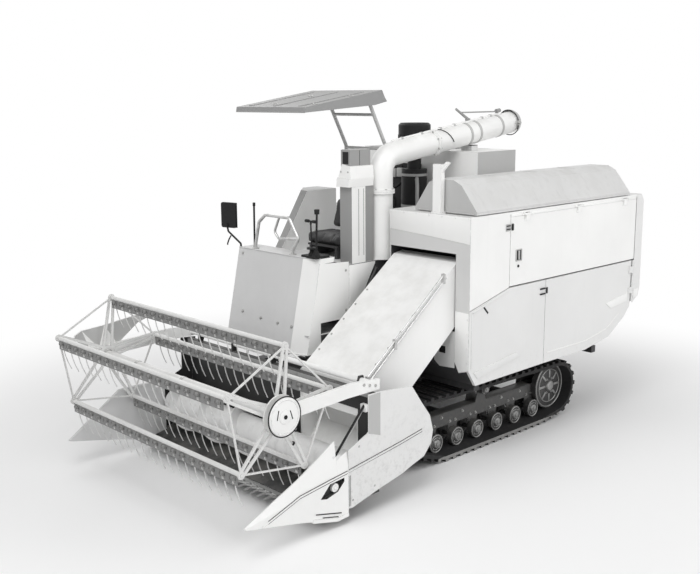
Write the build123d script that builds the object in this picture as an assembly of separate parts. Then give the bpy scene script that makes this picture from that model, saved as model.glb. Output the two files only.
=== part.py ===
"""Small tracked rice combine: tined reel, auger table, feeder house, thresher, grain tank.

Millimetres. X runs to the machine's left, Y to its rear, Z up, and the ground is at Z = 0.
The origin is the middle of the bounding box, on the ground.
"""
import math
import os

from build123d import *

# Running gear
TRACK_X = 630.0
TRACK_WIDTH = 430.0
BELT_THICK = 25.0
LUG_HEIGHT = 22.0
LUG_LENGTH = 34.0
LUG_COUNT = 56
ROLLER_R = 78.0
ROLLER_Z = LUG_HEIGHT + BELT_THICK + ROLLER_R
ROLLER_FRONT_Y = -60.0
ROLLER_REAR_Y = 1235.0
ROLLER_COUNT = 6
SPROCKET_Y, SPROCKET_Z, SPROCKET_R = -330.0, 330.0, 190.0
IDLER_Y, IDLER_Z, IDLER_R = 1470.0, 285.0, 205.0
CARRIER_R = 52.0
CARRIER_Y = 560.0
AXLE_R = 18.0

# Chassis
RAIL_X = 330.0
RAIL_WIDTH = 60.0
RAIL_BOTTOM = 600.0
RAIL_TOP = 667.7
CHASSIS_FRONT = -480.0
CHASSIS_REAR = 2180.0
BEARER_RIGHT, BEARER_LEFT = -960.0, 1040.0
PLATFORM_POST_Y = -480.0

# Thresher body
BODY_RIGHT, BODY_LEFT = 250.0, 1056.0
SKIN = 24.0
SIDE_X = BODY_LEFT + SKIN
BODY_FRONT, BODY_REAR = -90.0, 2250.0
HOOD_DEPTH = 119.0
REAR_Y = BODY_REAR + HOOD_DEPTH
BODY_TOP, BODY_BOTTOM = 1980.0, 668.0
PANEL_SPLIT = 1388.0
UPPER_SEAM_Y = 390.0
LOWER_SEAM_Y = 880.0
GAP = 0.3
DOOR_GAP = 6.0

# Feeder house and header
LIFT_Y, LIFT_Z = 40.0, 1440.0
FEEDER_RIGHT, FEEDER_LEFT = 270.0, 935.0
THROAT_RIGHT, THROAT_LEFT = 262.0, 943.0
BACK_Y = -1100.0
PLATE_X = 1124.0
PLATE_T = 6.0
HEADER_TOP = 862.0
TABLE_AUGER_Y, TABLE_AUGER_Z = -1306.0, 348.0
AUGER_DRUM_R = 110.0
AUGER_FLIGHT_R = 190.0
AUGER_PITCH = 400.0
AUGER_HALF = 1088.0
CUTTER_Y, CUTTER_Z = -1545.0, 96.0
GUARD_PITCH = 76.0
TIP_Y, TIP_Z = -2277.0, 241.0

# Reel
REEL_Y, REEL_Z, REEL_R = -1939.0, 889.0, 445.0
REEL_ARM_Y, REEL_ARM_Z = -1112.0, 920.0
SPIDER_X = 1054.0
ARM_X, ARM_T = 1092.0, 20.0
BAT_ANGLES = (82.0, 154.0, 226.0, 298.0, 10.0)
BAT_TUBE_R = 16.0
BAT_STUB_R = 12.0
BAT_HALF = 1042.0
TINE_COUNT = 19
TINE_PITCH = 110.0
TINE_T = 6.0
TINE_DROP = 225.0
TINE_SWEEP = 60.0
COIL_R, COIL_HALF = 15.0, 22.0
FIT = 0.06
PIN_R = 7.0

# Grain tank, engine room, operator's place
TANK_FRONT, TANK_REAR, TANK_LOW_REAR = 865.0, 1390.0, 2050.0
TANK_RIGHT, TANK_LEFT = -1000.0, 360.0
TANK_TOP, TANK_DECK, TANK_BOTTOM = 2390.0, 1975.0, 900.0
FLOOR_Z = 1050.0
PLATFORM_RIGHT, PLATFORM_LEFT = -810.0, 150.0
DASH_TOP_Y, DASH_TOP_Z = -800.0, 1640.0
DASH_LOW_Y, DASH_LOW_Z = -955.0, 900.0
ENGINE_HOOD_TOP = 1560.0
SEAT_RIGHT, SEAT_LEFT = -490.0, -50.0
SEAT_FRONT, SEAT_REAR = -360.0, -20.0
SEAT_BASE, SEAT_TOP = 1664.0, 1755.0
BACK_TOP, BACK_LEAN = 2020.0, 15.0

# Canopy
CANOPY_RIGHT, CANOPY_LEFT = -820.0, 30.0
CANOPY_FRONT_Y, CANOPY_REAR_Y = -790.0, 70.0
CANOPY_REAR_Z, CANOPY_DROP = 2918.0, 132.0
CANOPY_FRONT_Z = CANOPY_REAR_Z - CANOPY_DROP
CANOPY_LIP_FRONT, CANOPY_LIP_REAR = 40.0, 96.0
CANOPY_SHEET = 4.0
POST_X = (-500.0, -22.0)
POST_Y, POST_R = 138.0, 15.0
POST_BEND_DROP, RUNG_DROP = 468.0, 202.0
POST_BEND_Z = CANOPY_REAR_Z - POST_BEND_DROP
POST_LEAN = 28.0

# Grain unloader
PIPE_X, PIPE_Y, PIPE_R = 105.0, -50.0, 97.0
COLLAR_Z = 2110.0
TUBE_Z = 2385.0
TUBE_RISE = 8.0
FLANGE_AT = 600.0
SPOUT_AT = 1673.0
HOOD_R = 118.0
HOOD_T = 5.0


def block(x0, x1, y0, y1, z0, z1):
    return Pos((x0 + x1) / 2, (y0 + y1) / 2, (z0 + z1) / 2) * Box(x1 - x0, y1 - y0, z1 - z0)


def along_x(outline, x0, x1):
    """A plate or prism whose outline is given in (y, z)."""
    return extrude(Plane.YZ.offset(x0) * outline, x1 - x0, dir=(1, 0, 0))


def along_y(outline, y0, y1):
    """A plate or prism whose outline is given in (x, z)."""
    plane = Plane(origin=(0, y0, 0), x_dir=(1, 0, 0), z_dir=(0, -1, 0))
    return extrude(plane * outline, y1 - y0, dir=(0, 1, 0))


def along_z(outline, z0, z1):
    return extrude(Plane.XY.offset(z0) * outline, z1 - z0, dir=(0, 0, 1))


def poly(*points):
    return Polygon(*points, align=None)


def disc_x(y, z, r, x0, x1, hole=0.0):
    ring = Pos(y, z) * Circle(r)
    if hole:
        ring -= Pos(y, z) * Circle(hole)
    return along_x(ring, x0, x1)


def disc_z(x, y, z0, z1, r):
    return Pos(x, y, (z0 + z1) / 2) * Cylinder(r, z1 - z0)


def rod(start, end, r):
    start, end = Vector(*start), Vector(*end)
    span = end - start
    return Solid.make_cylinder(r, span.length, Plane(origin=start, z_dir=span))


def bent_tube(points, r, bend):
    path = FilletPolyline(*points, radius=bend)
    section = Plane(origin=path @ 0, z_dir=path % 0) * Circle(r)
    return sweep(section, path=path)


def joined(pieces):
    first, *rest = pieces
    return first.fuse(*rest) if rest else first


def mirrored(shape):
    return shape.mirror(Plane.YZ)


def both_sides(shape):
    return Compound(children=[*shape.solids(), *mirrored(shape).solids()])


def group(shapes):
    return Compound(children=[solid for shape in shapes for solid in shape.solids()])


# Running gear

def belt_circles():
    """The wheels that the belt runs round, front bottom first and then round to the rear."""
    return (
        (ROLLER_FRONT_Y, ROLLER_Z, ROLLER_R),
        (ROLLER_REAR_Y, ROLLER_Z, ROLLER_R),
        (IDLER_Y, IDLER_Z, IDLER_R),
        (SPROCKET_Y, SPROCKET_Z, SPROCKET_R),
    )


def belt_runs(extra):
    """Straight runs and arcs of the belt, each as (kind, length, data), at `extra` off the wheels."""
    circles = [(y, z, r + extra) for y, z, r in belt_circles()]
    normals = []
    for i, (y0, z0, r0) in enumerate(circles):
        y1, z1, r1 = circles[(i + 1) % len(circles)]
        span = math.hypot(y1 - y0, z1 - z0)
        normals.append(math.atan2(z1 - z0, y1 - y0) - math.acos((r0 - r1) / span))
    runs = []
    for i, (y0, z0, r0) in enumerate(circles):
        turn = (normals[i] - normals[i - 1]) % (2 * math.pi)
        runs.append(("arc", r0 * turn, (y0, z0, r0, normals[i - 1], turn)))
        y1, z1, r1 = circles[(i + 1) % len(circles)]
        n = normals[i]
        start = (y0 + r0 * math.cos(n), z0 + r0 * math.sin(n))
        end = (y1 + r1 * math.cos(n), z1 + r1 * math.sin(n))
        runs.append(("line", math.dist(start, end), (start, end, n)))
    return runs


def belt_face(extra):
    edges = []
    for kind, length, data in belt_runs(extra):
        if kind == "arc":
            y, z, r, start, turn = data
            edges.append(CenterArc((y, z), r, math.degrees(start), math.degrees(turn)))
        else:
            edges.append(Line(data[0], data[1]))
    return make_face(edges)


def belt_stations(extra, count):
    """Evenly spaced places round the belt as (y, z, outward angle in degrees)."""
    runs = belt_runs(extra)
    step = sum(run[1] for run in runs) / count
    places = []
    at = step / 2
    passed = 0.0
    for kind, length, data in runs:
        while at < passed + length and len(places) < count:
            t = at - passed
            if kind == "arc":
                y, z, r, start, turn = data
                angle = start + t / r
                places.append((y + r * math.cos(angle), z + r * math.sin(angle), math.degrees(angle)))
            else:
                (y0, z0), (y1, z1), n = data
                share = t / length
                places.append((y0 + (y1 - y0) * share, z0 + (z1 - z0) * share, math.degrees(n)))
            at += step
        passed += length
    return places


def tracks():
    x0, x1 = TRACK_X - TRACK_WIDTH / 2, TRACK_X + TRACK_WIDTH / 2
    belt = along_x(belt_face(BELT_THICK) - belt_face(0), x0, x1)
    sink = 4.0
    lugs = []
    for y, z, angle in belt_stations(BELT_THICK, LUG_COUNT):
        lug = Pos(0, y, z) * Rot(angle, 0, 0) * Pos(0, (LUG_HEIGHT - sink) / 2, 0)
        lugs.append(Pos(TRACK_X, 0, 0) * lug * Box(TRACK_WIDTH, LUG_HEIGHT + sink, LUG_LENGTH))
    return both_sides(joined([belt] + lugs))


def roller_places():
    pitch = (ROLLER_REAR_Y - ROLLER_FRONT_Y) / (ROLLER_COUNT - 1)
    return [ROLLER_FRONT_Y + i * pitch for i in range(ROLLER_COUNT)]


BEAM_HALF = 55.0
WHEEL_OUT = 110.0
WHEEL_IN = BEAM_HALF + 6.0


def road_rollers():
    """Twin rollers under the beam, one carrier above it, and the rear idler."""
    wheels = []
    places = [(y, ROLLER_Z, ROLLER_R - GAP) for y in roller_places()]
    places += [(CARRIER_Y, carrier_z(), CARRIER_R), (IDLER_Y, IDLER_Z, IDLER_R - GAP)]
    for y, z, r in places:
        pieces = [disc_x(y, z, AXLE_R, TRACK_X - WHEEL_OUT, TRACK_X + WHEEL_OUT)]
        for side in (-1, 1):
            inner, outer = TRACK_X + side * WHEEL_IN, TRACK_X + side * WHEEL_OUT
            pieces.append(disc_x(y, z, r, min(inner, outer), max(inner, outer)))
        wheels.append(joined(pieces))
    return both_sides(group(wheels))


def carrier_z():
    """Centre height of the carrier roller, just under the belt's upper run."""
    kind, length, data = belt_runs(0)[5]
    (y0, z0), (y1, z1), n = data
    share = (CARRIER_Y - y0) / (y1 - y0)
    return z0 + (z1 - z0) * share - CARRIER_R - GAP


def track_frames():
    beam = block(TRACK_X - BEAM_HALF, TRACK_X + BEAM_HALF, -110, 1260, 225, 330)
    plate_t = 10.0
    inner = TRACK_X - BEAM_HALF
    outer = TRACK_X + BEAM_HALF - plate_t
    pieces = [beam]
    holes = []
    for y in roller_places():
        for x in (inner, outer):
            foot = poly((y - 60, 226), (y + 60, 226), (y + 26, ROLLER_Z - 26), (y - 26, ROLLER_Z - 26))
            pieces.append(along_x(foot, x, x + plate_t))
        holes.append((y, ROLLER_Z))
    for x in (inner, outer):
        fork = poly((1200, 232), (1250, 232), (IDLER_Y + 40, IDLER_Z - 34), (IDLER_Y + 40, IDLER_Z + 34),
                    (1250, 330), (1200, 330))
        pieces.append(along_x(fork, x, x + plate_t))
        post = poly((CARRIER_Y - 70, 329), (CARRIER_Y + 70, 329), (CARRIER_Y + 26, carrier_z() + 26),
                    (CARRIER_Y - 26, carrier_z() + 26))
        pieces.append(along_x(post, x, x + plate_t))
    holes += [(IDLER_Y, IDLER_Z), (CARRIER_Y, carrier_z())]
    frame = joined(pieces)
    for y, z in holes:
        frame -= disc_x(y, z, AXLE_R + GAP, inner - 1, outer + plate_t + 1)
    return both_sides(frame)


CROSS_AXLES_Y = (180.0, 1010.0)
CROSS_AXLE_Z = 280.0


def chassis_frame():
    """Two long rails, cross members, platform posts and the tow hitch."""
    half = RAIL_WIDTH / 2
    rail = block(RAIL_X - half, RAIL_X + half, CHASSIS_FRONT, CHASSIS_REAR, RAIL_BOTTOM, RAIL_TOP)
    rails = [rail, mirrored(rail)]
    cross_y = (CHASSIS_FRONT + 80, RAM_BASE[0], CROSS_AXLES_Y[0], CROSS_AXLES_Y[1], CHASSIS_REAR - 60)
    cross = [block(-RAIL_X, RAIL_X, y - 35, y + 35, RAIL_BOTTOM, RAIL_TOP) for y in cross_y]
    bearers = [block(BEARER_RIGHT, BEARER_LEFT, y - 30, y + 30, RAIL_TOP - 60, RAIL_TOP) for y in (60, 1700)]
    y0, y1 = PLATFORM_POST_Y - 25, PLATFORM_POST_Y + 25
    right, left = PLATFORM_RIGHT + 20, PLATFORM_LEFT - 20
    posts = [block(x, x + 50, y0, y1, RAIL_TOP - 60, FLOOR_Z - 10) for x in (right, -RAIL_X, left - 50)]
    beam = block(right, left, y0, y1, RAIL_TOP - 60, RAIL_TOP)
    hitch = block(-70, 70, CHASSIS_REAR - 65, CHASSIS_REAR + 70, RAIL_BOTTOM + 16, RAIL_BOTTOM + 36)
    frame = joined(rails + cross + bearers + posts + [beam, hitch])
    return frame - Pos(0, CHASSIS_REAR + 35, RAIL_BOTTOM + 26) * Cylinder(16, 60)


def frame_legs():
    """Two legs under the rails at each cross tube, and the tube that carries the track frames."""
    axles = []
    for y in CROSS_AXLES_Y:
        foot = poly((y - 90, RAIL_BOTTOM - GAP), (y + 90, RAIL_BOTTOM - GAP), (y + 45, CROSS_AXLE_Z - 45),
                    (y - 45, CROSS_AXLE_Z - 45))
        legs = [along_x(foot, side * RAIL_X - 9, side * RAIL_X + 9) for side in (-1, 1)]
        axles.append(joined(legs + [disc_x(y, CROSS_AXLE_Z, 38, -TRACK_X + BEAM_HALF, TRACK_X - BEAM_HALF)]))
    return group(axles)


def gearbox():
    case = block(-210, 210, -450, -215, 240, RAIL_BOTTOM)
    bells = [disc_x(SPROCKET_Y, SPROCKET_Z, 66, *sorted((side * 209, side * 300))) for side in (-1, 1)]
    axle = disc_x(SPROCKET_Y, SPROCKET_Z, 34, -TRACK_X - 60, TRACK_X + 60)
    return joined([case] + bells + [axle])


def drive_sprockets():
    teeth = 14
    root = SPROCKET_R - 34
    body = Circle(root)
    for i in range(teeth):
        body += Rot(0, 0, i * 360 / teeth) * Pos(root + 12, 0) * Rectangle(40, 22)
    body &= Circle(SPROCKET_R - 3)
    wheel = along_x(Pos(SPROCKET_Y, SPROCKET_Z) * body, TRACK_X - 30, TRACK_X + 30)
    wheel += disc_x(SPROCKET_Y, SPROCKET_Z, 75, TRACK_X - 55, TRACK_X + 55)
    return both_sides(wheel - disc_x(SPROCKET_Y, SPROCKET_Z, 34 + GAP, TRACK_X - 60, TRACK_X + 90))


# Thresher

def body_outline():
    return poly((BODY_FRONT, 798), (-4, BODY_BOTTOM), (BODY_REAR - 750, BODY_BOTTOM),
                (BODY_REAR - 380, BODY_BOTTOM + 54), (BODY_REAR - 130, BODY_BOTTOM + 196),
                (BODY_REAR, BODY_BOTTOM + 317), (BODY_REAR, BODY_TOP), (BODY_FRONT, BODY_TOP))


def thresher_body():
    """Solid core with the feeder's throat in front and the straw mouth at the rear."""
    core = along_x(body_outline(), BODY_RIGHT, BODY_LEFT - GAP)
    core -= block(THROAT_RIGHT, THROAT_LEFT, BODY_FRONT - 1, 290, 1010, 1690)
    core -= disc_x(LIFT_Y, LIFT_Z, 30 + FIT, BODY_RIGHT - 1, FEEDER_LEFT + 40)
    core -= block(340, 980, BODY_REAR - 290, BODY_REAR + 10, 1250, 1860)
    ears = []
    for y in DRUM_HINGES_Y:
        ears += hinge_ears(DRUM_PIN_X, DRUM_PIN_Z, y, DRUM_PIN_X - 12, DRUM_PIN_X + 9, BODY_TOP - 1, DRUM_PIN_Z + 11)
    return joined([core] + ears)


def side_panels():
    """The two fixed panels on the left side, in front of the door seams."""
    upper = poly((BODY_FRONT, PANEL_SPLIT - 120), (UPPER_SEAM_Y, PANEL_SPLIT), (UPPER_SEAM_Y, BODY_TOP),
                 (BODY_FRONT, BODY_TOP))
    lower = poly((BODY_FRONT, 798), (-4, BODY_BOTTOM), (LOWER_SEAM_Y, BODY_BOTTOM + 8),
                 (LOWER_SEAM_Y, PANEL_SPLIT - 6), (UPPER_SEAM_Y, PANEL_SPLIT - 6),
                 (BODY_FRONT, PANEL_SPLIT - 126))
    pieces = [along_x(upper, BODY_LEFT, SIDE_X), along_x(lower, BODY_LEFT, SIDE_X)]
    strip = block(BODY_LEFT, SIDE_X, UPPER_SEAM_Y, BODY_REAR, UPPER_PIN_Z + 9, BODY_TOP)
    ears = []
    for y in UPPER_HINGES_Y:
        ears += hinge_ears(DOOR_PIN_X, UPPER_PIN_Z, y, BODY_LEFT, DOOR_PIN_X + 9, UPPER_PIN_Z - 6, UPPER_PIN_Z + 10)
    rear = block(BODY_LEFT, SIDE_X, LOWER_PIN_Y + 9, BODY_REAR, 1000, PANEL_SPLIT - 6)
    for z in LOWER_HINGES_Z:
        for z0 in (z - 54, z + 36):
            ear = block(BODY_LEFT, DOOR_PIN_X + 9, LOWER_PIN_Y - 6, LOWER_PIN_Y + 10, z0, z0 + 18)
            rear += ear - rod((DOOR_PIN_X, LOWER_PIN_Y, z0 - 5), (DOOR_PIN_X, LOWER_PIN_Y, z0 + 25), PIN_R + FIT)
    return group(pieces + [joined([strip] + ears), rear])


UPPER_DOOR_TOP = 1940.0
UPPER_PIN_Z = UPPER_DOOR_TOP + 12
HINGE_INSET = 210.0
UPPER_HINGES_Y = (UPPER_SEAM_Y + HINGE_INSET, (UPPER_SEAM_Y + BODY_REAR) / 2, BODY_REAR - HINGE_INSET)
DOOR_PIN_X = SIDE_X + 10
DOOR_REAR = BODY_REAR - 45
LOWER_PIN_Y = DOOR_REAR + 12
LOWER_HINGES_Z = (1110.0, 1300.0)
DOOR_BACK = BODY_LEFT + 5.3


def upper_door():
    """Upper rear side door, hung from its top edge."""
    y0, y1 = UPPER_SEAM_Y + DOOR_GAP, BODY_REAR - 10
    skin = block(DOOR_BACK, SIDE_X, y0, y1, PANEL_SPLIT + 6, UPPER_DOOR_TOP)
    knuckles = []
    for y in UPPER_HINGES_Y:
        knuckles.append(rod((DOOR_PIN_X, y - 60, UPPER_PIN_Z), (DOOR_PIN_X, y + 60, UPPER_PIN_Z), PIN_R))
        knuckles.append(block(SIDE_X - 1, DOOR_PIN_X + 5, y - 28, y + 28, UPPER_DOOR_TOP - 40, UPPER_PIN_Z))
    return joined([skin] + knuckles)


def lower_door():
    """Lower rear side door, hung on its rear edge."""
    outline = poly((LOWER_SEAM_Y + DOOR_GAP, BODY_BOTTOM + 8), (BODY_REAR - 750, BODY_BOTTOM + 8),
                   (BODY_REAR - 380, BODY_BOTTOM + 62), (BODY_REAR - 140, BODY_BOTTOM + 200),
                   (DOOR_REAR, BODY_BOTTOM + 292), (DOOR_REAR, PANEL_SPLIT - 6),
                   (LOWER_SEAM_Y + DOOR_GAP, PANEL_SPLIT - 6))
    skin = along_x(outline, DOOR_BACK, SIDE_X)
    knuckles = []
    for z in LOWER_HINGES_Z:
        knuckles.append(rod((DOOR_PIN_X, LOWER_PIN_Y, z - 60), (DOOR_PIN_X, LOWER_PIN_Y, z + 60), PIN_R))
        knuckles.append(block(SIDE_X - 1, DOOR_PIN_X + 5, DOOR_REAR - 40, LOWER_PIN_Y, z - 28, z + 28))
    return joined([skin] + knuckles)


def front_panel():
    """Thin front sheet round the feeder's throat, with the strip down its left side."""
    outline = poly((BODY_RIGHT, 1000), (BODY_RIGHT, BODY_TOP), (SIDE_X, BODY_TOP), (SIDE_X, 798),
                   (986, 770), (THROAT_LEFT, 850), (THROAT_LEFT, 1692), (THROAT_RIGHT, 1692),
                   (THROAT_RIGHT, 1000))
    return along_y(outline, BODY_FRONT - 3 - GAP, BODY_FRONT - GAP)


DRUM_RIGHT, DRUM_LEFT = 458.0, 1078.0
DRUM_FRONT, DRUM_REAR = -20.0, BODY_REAR - 130
DRUM_TOP = 2238.0
DRUM_PIN_X, DRUM_PIN_Z = DRUM_RIGHT - 16, BODY_TOP + 16
DRUM_HINGES_Y = (DRUM_FRONT + 180, (DRUM_FRONT + DRUM_REAR) / 2, DRUM_REAR - 180)


def hinge_ears(x, z, y, x0, x1, z0, z1):
    """The two ears of a hinge whose pin runs along Y, on both sides of y."""
    ears = [block(x0, x1, min(a, b), max(a, b), z0, z1) for a, b in ((y - 54, y - 36), (y + 36, y + 54))]
    return [ear - rod((x, y - 80, z), (x, y + 80, z), PIN_R + FIT) for ear in ears]


def drum_cover():
    """Sheet hood over the threshing drum, hinged along its right edge."""
    t = 4.0
    base = BODY_TOP + 5.5

    def arch(inset):
        crown, mid = DRUM_TOP - inset, (DRUM_RIGHT + DRUM_LEFT) / 2
        return poly((DRUM_RIGHT + inset, base), (DRUM_RIGHT + inset, base + 25),
                    (mid - 173 + inset * 0.6, crown - 30), (mid - 108, crown), (mid + 82, crown),
                    (mid + 157 - inset * 0.6, crown - 36), (DRUM_LEFT - inset, base + 25), (DRUM_LEFT - inset, base))

    shell = along_y(arch(0), DRUM_FRONT, DRUM_REAR) - along_y(arch(t), DRUM_FRONT + t, DRUM_REAR - t)
    knuckles = []
    for y in DRUM_HINGES_Y:
        knuckles.append(rod((DRUM_PIN_X, y - 60, DRUM_PIN_Z), (DRUM_PIN_X, y + 60, DRUM_PIN_Z), PIN_R))
        knuckles.append(block(DRUM_PIN_X, DRUM_RIGHT + 1, y - 28, y + 28, DRUM_PIN_Z - 5, DRUM_PIN_Z + 5))
    return joined([shell] + knuckles)


POST_HEIGHT = 376.0
POST_TOP = BODY_TOP + POST_HEIGHT


def cradle_post():
    """Post that the unloading tube swings over, with a short slanted horn at its top."""
    x0, x1 = 685.0, 770.0
    foot = block(x0 - 12, x1 + 12, -78, -32, BODY_TOP + GAP, BODY_TOP + 12)
    post = block(x0, x1, -75, -35, BODY_TOP + 11, POST_TOP)
    horn = along_y(poly((x1 - 40, POST_TOP - 40), (x1, POST_TOP - 60), (x1 + 70, POST_TOP + 14),
                        (x1 + 40, POST_TOP + 22)), -66, -44)
    return joined([foot, post, horn])


def straw_hood():
    """Hood and deflector over the straw mouth at the rear."""
    t = 4.0
    outer = poly((BODY_REAR + GAP, BODY_TOP), (REAR_Y - 40, BODY_TOP), (REAR_Y, BODY_TOP - 60), (REAR_Y, 1126),
                 (REAR_Y - 20, 1045), (BODY_REAR + GAP, 985))
    inner = poly((BODY_REAR - 5, BODY_TOP - t), (REAR_Y - 42, BODY_TOP - t), (REAR_Y - t, BODY_TOP - 62),
                 (REAR_Y - t, 1126), (REAR_Y - 24, 1045), (REAR_Y - 24, 940), (BODY_REAR - 5, 940))
    return along_x(outer, BODY_RIGHT, SIDE_X) - along_x(inner, BODY_RIGHT + t, SIDE_X - t)


# Grain tank and engine room

LID_LEFT = -150.0
LID_PIN_Y, LID_PIN_Z = TANK_REAR + 14, TANK_TOP + 5
LID_HINGES_X = (-820.0, -330.0)


def grain_tank():
    """Hollow tank with the raised filling hopper at its front."""
    t = 4.0
    low = block(TANK_RIGHT, BODY_RIGHT - 8, TANK_FRONT, TANK_LOW_REAR, TANK_BOTTOM, TANK_DECK)
    high = block(TANK_RIGHT, TANK_LEFT, TANK_FRONT, TANK_REAR, TANK_DECK + 15, TANK_TOP)
    neck = block(TANK_RIGHT, BODY_RIGHT - 8, TANK_FRONT, TANK_REAR, TANK_DECK - 5, TANK_DECK + 20)
    inside = [
        block(TANK_RIGHT + t, BODY_RIGHT - 8 - t, TANK_FRONT + t, TANK_LOW_REAR - t, TANK_BOTTOM + t, TANK_DECK - t),
        block(TANK_RIGHT + t, BODY_RIGHT - 8 - t, TANK_FRONT + t, TANK_REAR - t, TANK_DECK - 10, TANK_DECK + 30),
        block(TANK_RIGHT + t, TANK_LEFT - t, TANK_FRONT + t, TANK_REAR - t, TANK_DECK + 15 + t, TANK_TOP + 1),
    ]
    deck = block(LID_LEFT + 6, TANK_LEFT, TANK_FRONT, TANK_REAR, TANK_TOP - t, TANK_TOP)
    ears = [block(x, x + 18, TANK_REAR - 1, LID_PIN_Y + 9, LID_PIN_Z - 10, LID_PIN_Z + 9) -
            disc_x(LID_PIN_Y, LID_PIN_Z, PIN_R + FIT, x - 5, x + 25)
            for y in LID_HINGES_X for x in (y - 54, y + 36)]
    tank = joined([low, neck, high]) - joined(inside)
    tank = joined([tank, deck] + ears)
    legs = [block(x, x + 60, y, y + 60, RAIL_TOP + GAP, TANK_BOTTOM + 1) for x in (-360, 170) for y in (940, 1900)]
    return joined([tank] + legs)


def tank_lid():
    lid = block(TANK_RIGHT - 6, LID_LEFT, TANK_FRONT - 6, TANK_REAR - 12, TANK_TOP + 5.5, TANK_TOP + 9.5)
    knuckles = []
    for x in LID_HINGES_X:
        knuckles.append(disc_x(LID_PIN_Y, LID_PIN_Z, PIN_R, x - 60, x + 60))
        knuckles.append(block(x - 28, x + 28, TANK_REAR - 40, LID_PIN_Y, TANK_TOP + 5.5, TANK_TOP + 9.5))
    return joined([lid] + knuckles)


def engine_block():
    return block(-640, 130, -360, 420, RAIL_TOP + GAP, 1330)


def engine_cover():
    """Sheet housing round the engine, with the seat's deck and the rear box."""
    t = 4.0
    outline = poly((-450, FLOOR_Z - 6), (-450, ENGINE_HOOD_TOP), (700, ENGINE_HOOD_TOP), (700, FLOOR_Z - 6))
    x0, x1 = -695.0, PLATFORM_LEFT
    shell = along_x(outline, x0, x1) - block(x0 + t, x1 - t, -450 + t, 700 - t, 0, ENGINE_HOOD_TOP - t)
    feet = [block(x, x + 40, y, y + 40, RAIL_TOP + GAP, FLOOR_Z) for x in (x0 + 3, x1 - 43) for y in (-447, 657)]
    return joined([shell] + feet + side_brace())


RAD_RIGHT, RAD_LEFT = -950.0, -695.3
RAD_CHAMFER_X = -775.0
RAD_TOP, RAD_SHOULDER = 2066.0, 1900.0
RAD_FACE = ((-472.0, 1552.0), (-146.0, RAD_TOP))
RAD_STEP_Y, RAD_REAR_Y = 195.0, 760.0


def radiator_box():
    """Screened box beside the seat: leaning front, chamfered outer corner, lower part behind."""
    (low_y, low_z), (top_y, top_z) = RAD_FACE
    outline = poly((low_y, FLOOR_Z + 10), (low_y, low_z), (top_y, top_z), (RAD_STEP_Y, RAD_TOP),
                   (RAD_STEP_Y, RAD_SHOULDER), (RAD_REAR_Y, RAD_SHOULDER), (RAD_REAR_Y, FLOOR_Z + 10))
    box = along_x(outline, RAD_RIGHT, RAD_LEFT)
    depth = RAD_CHAMFER_X - RAD_RIGHT
    out = 40.0

    def corner(y, z):
        share = 1 + out / depth
        return Plane.XY.offset(z) * poly((RAD_CHAMFER_X + out, y - out), (RAD_RIGHT - out, y - out),
                                         (RAD_RIGHT - out, y + depth * share))

    box -= loft([corner(low_y, FLOOR_Z), corner(low_y, low_z)])
    box -= loft([corner(low_y, low_z), corner(top_y, top_z + 1)])
    slots = [block(RAD_RIGHT - 1, RAD_RIGHT + 8, 60, 700, z, z + 60) for z in (1200, 1330, 1460, 1590, 1720)]
    return box - joined(slots)


AIR_X, AIR_Y = -165.0, 640.0


def air_cleaner():
    body = Pos(AIR_X, AIR_Y, ENGINE_HOOD_TOP + 340) * Cylinder(112, 680 - 2 * GAP)
    neck = Pos(AIR_X, AIR_Y, ENGINE_HOOD_TOP + 760) * Cylinder(60, 200)
    bowl = Pos(AIR_X, AIR_Y, ENGINE_HOOD_TOP + 955) * Cylinder(140, 240)
    bowl = chamfer(bowl.edges().filter_by(GeomType.CIRCLE).sort_by(Axis.Z)[-1], 18)
    return joined([body, neck, bowl])


# Operator's place

def dash_y(z):
    share = (z - DASH_LOW_Z) / (DASH_TOP_Z - DASH_LOW_Z)
    return DASH_LOW_Y + (DASH_TOP_Y - DASH_LOW_Y) * share


def platform():
    """Floor, leaning front panel with its bevelled left corner, left side panel, and steps."""
    t = 4.0
    floor = block(PLATFORM_RIGHT + 2, PLATFORM_LEFT - 2, -890, -452, FLOOR_Z - 10, FLOOR_Z)
    edge = [(PLATFORM_RIGHT, 0.0), (0.0, 0.0), (PLATFORM_LEFT, 50.0)]

    def section(z, inset):
        y = dash_y(z)
        pts = [(x - (inset if i == 2 else 0), y + back + inset) for i, (x, back) in enumerate(edge)]
        rear = y + 190
        return Plane.XY.offset(z) * poly((edge[0][0], rear), pts[0], pts[1], pts[2], (pts[2][0], rear))

    outer = loft([section(DASH_LOW_Z, 0), section(DASH_TOP_Z, 0)])
    inner = loft([section(DASH_LOW_Z - 1, t), section(DASH_TOP_Z - t, t)])
    front = outer - inner
    rear_cut = block(-2000, 2000, -760, 0, DASH_LOW_Z - 10, DASH_TOP_Z - 40)
    front -= rear_cut
    side = along_x(poly((-850, 1135), (-456, 1135), (-456, 1585), (-720, 1600), (-765, 1600)),
                   PLATFORM_LEFT - t, PLATFORM_LEFT)
    pieces = [floor, front, side]
    return joined(pieces)


def side_brace():
    """Two thin struts between the engine housing's left side and the bearer below it."""
    x = PLATFORM_LEFT + 14
    return [rod((x, -160, 1500), (x, -300, 1300), 11), rod((x, -160, 1500), (x, -20, 1320), 11),
            rod((PLATFORM_LEFT - 1, -160, 1500), (x, -160, 1500), 16),
            rod((PLATFORM_LEFT - 1, -300, 1300), (x, -300, 1300), 16),
            rod((PLATFORM_LEFT - 1, -20, 1320), (x, -20, 1320), 16)]


def step():
    rails = [block(PLATFORM_RIGHT + 4, PLATFORM_RIGHT + 16, y, y + 12, 620, FLOOR_Z - 10 - GAP) for y in (-760, -520)]
    treads = [block(PLATFORM_RIGHT - 86, PLATFORM_RIGHT + 16, -760, -508, z, z + 14) for z in (620, 830)]
    return joined(rails + treads)


RAIL_Y = -762.0


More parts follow.
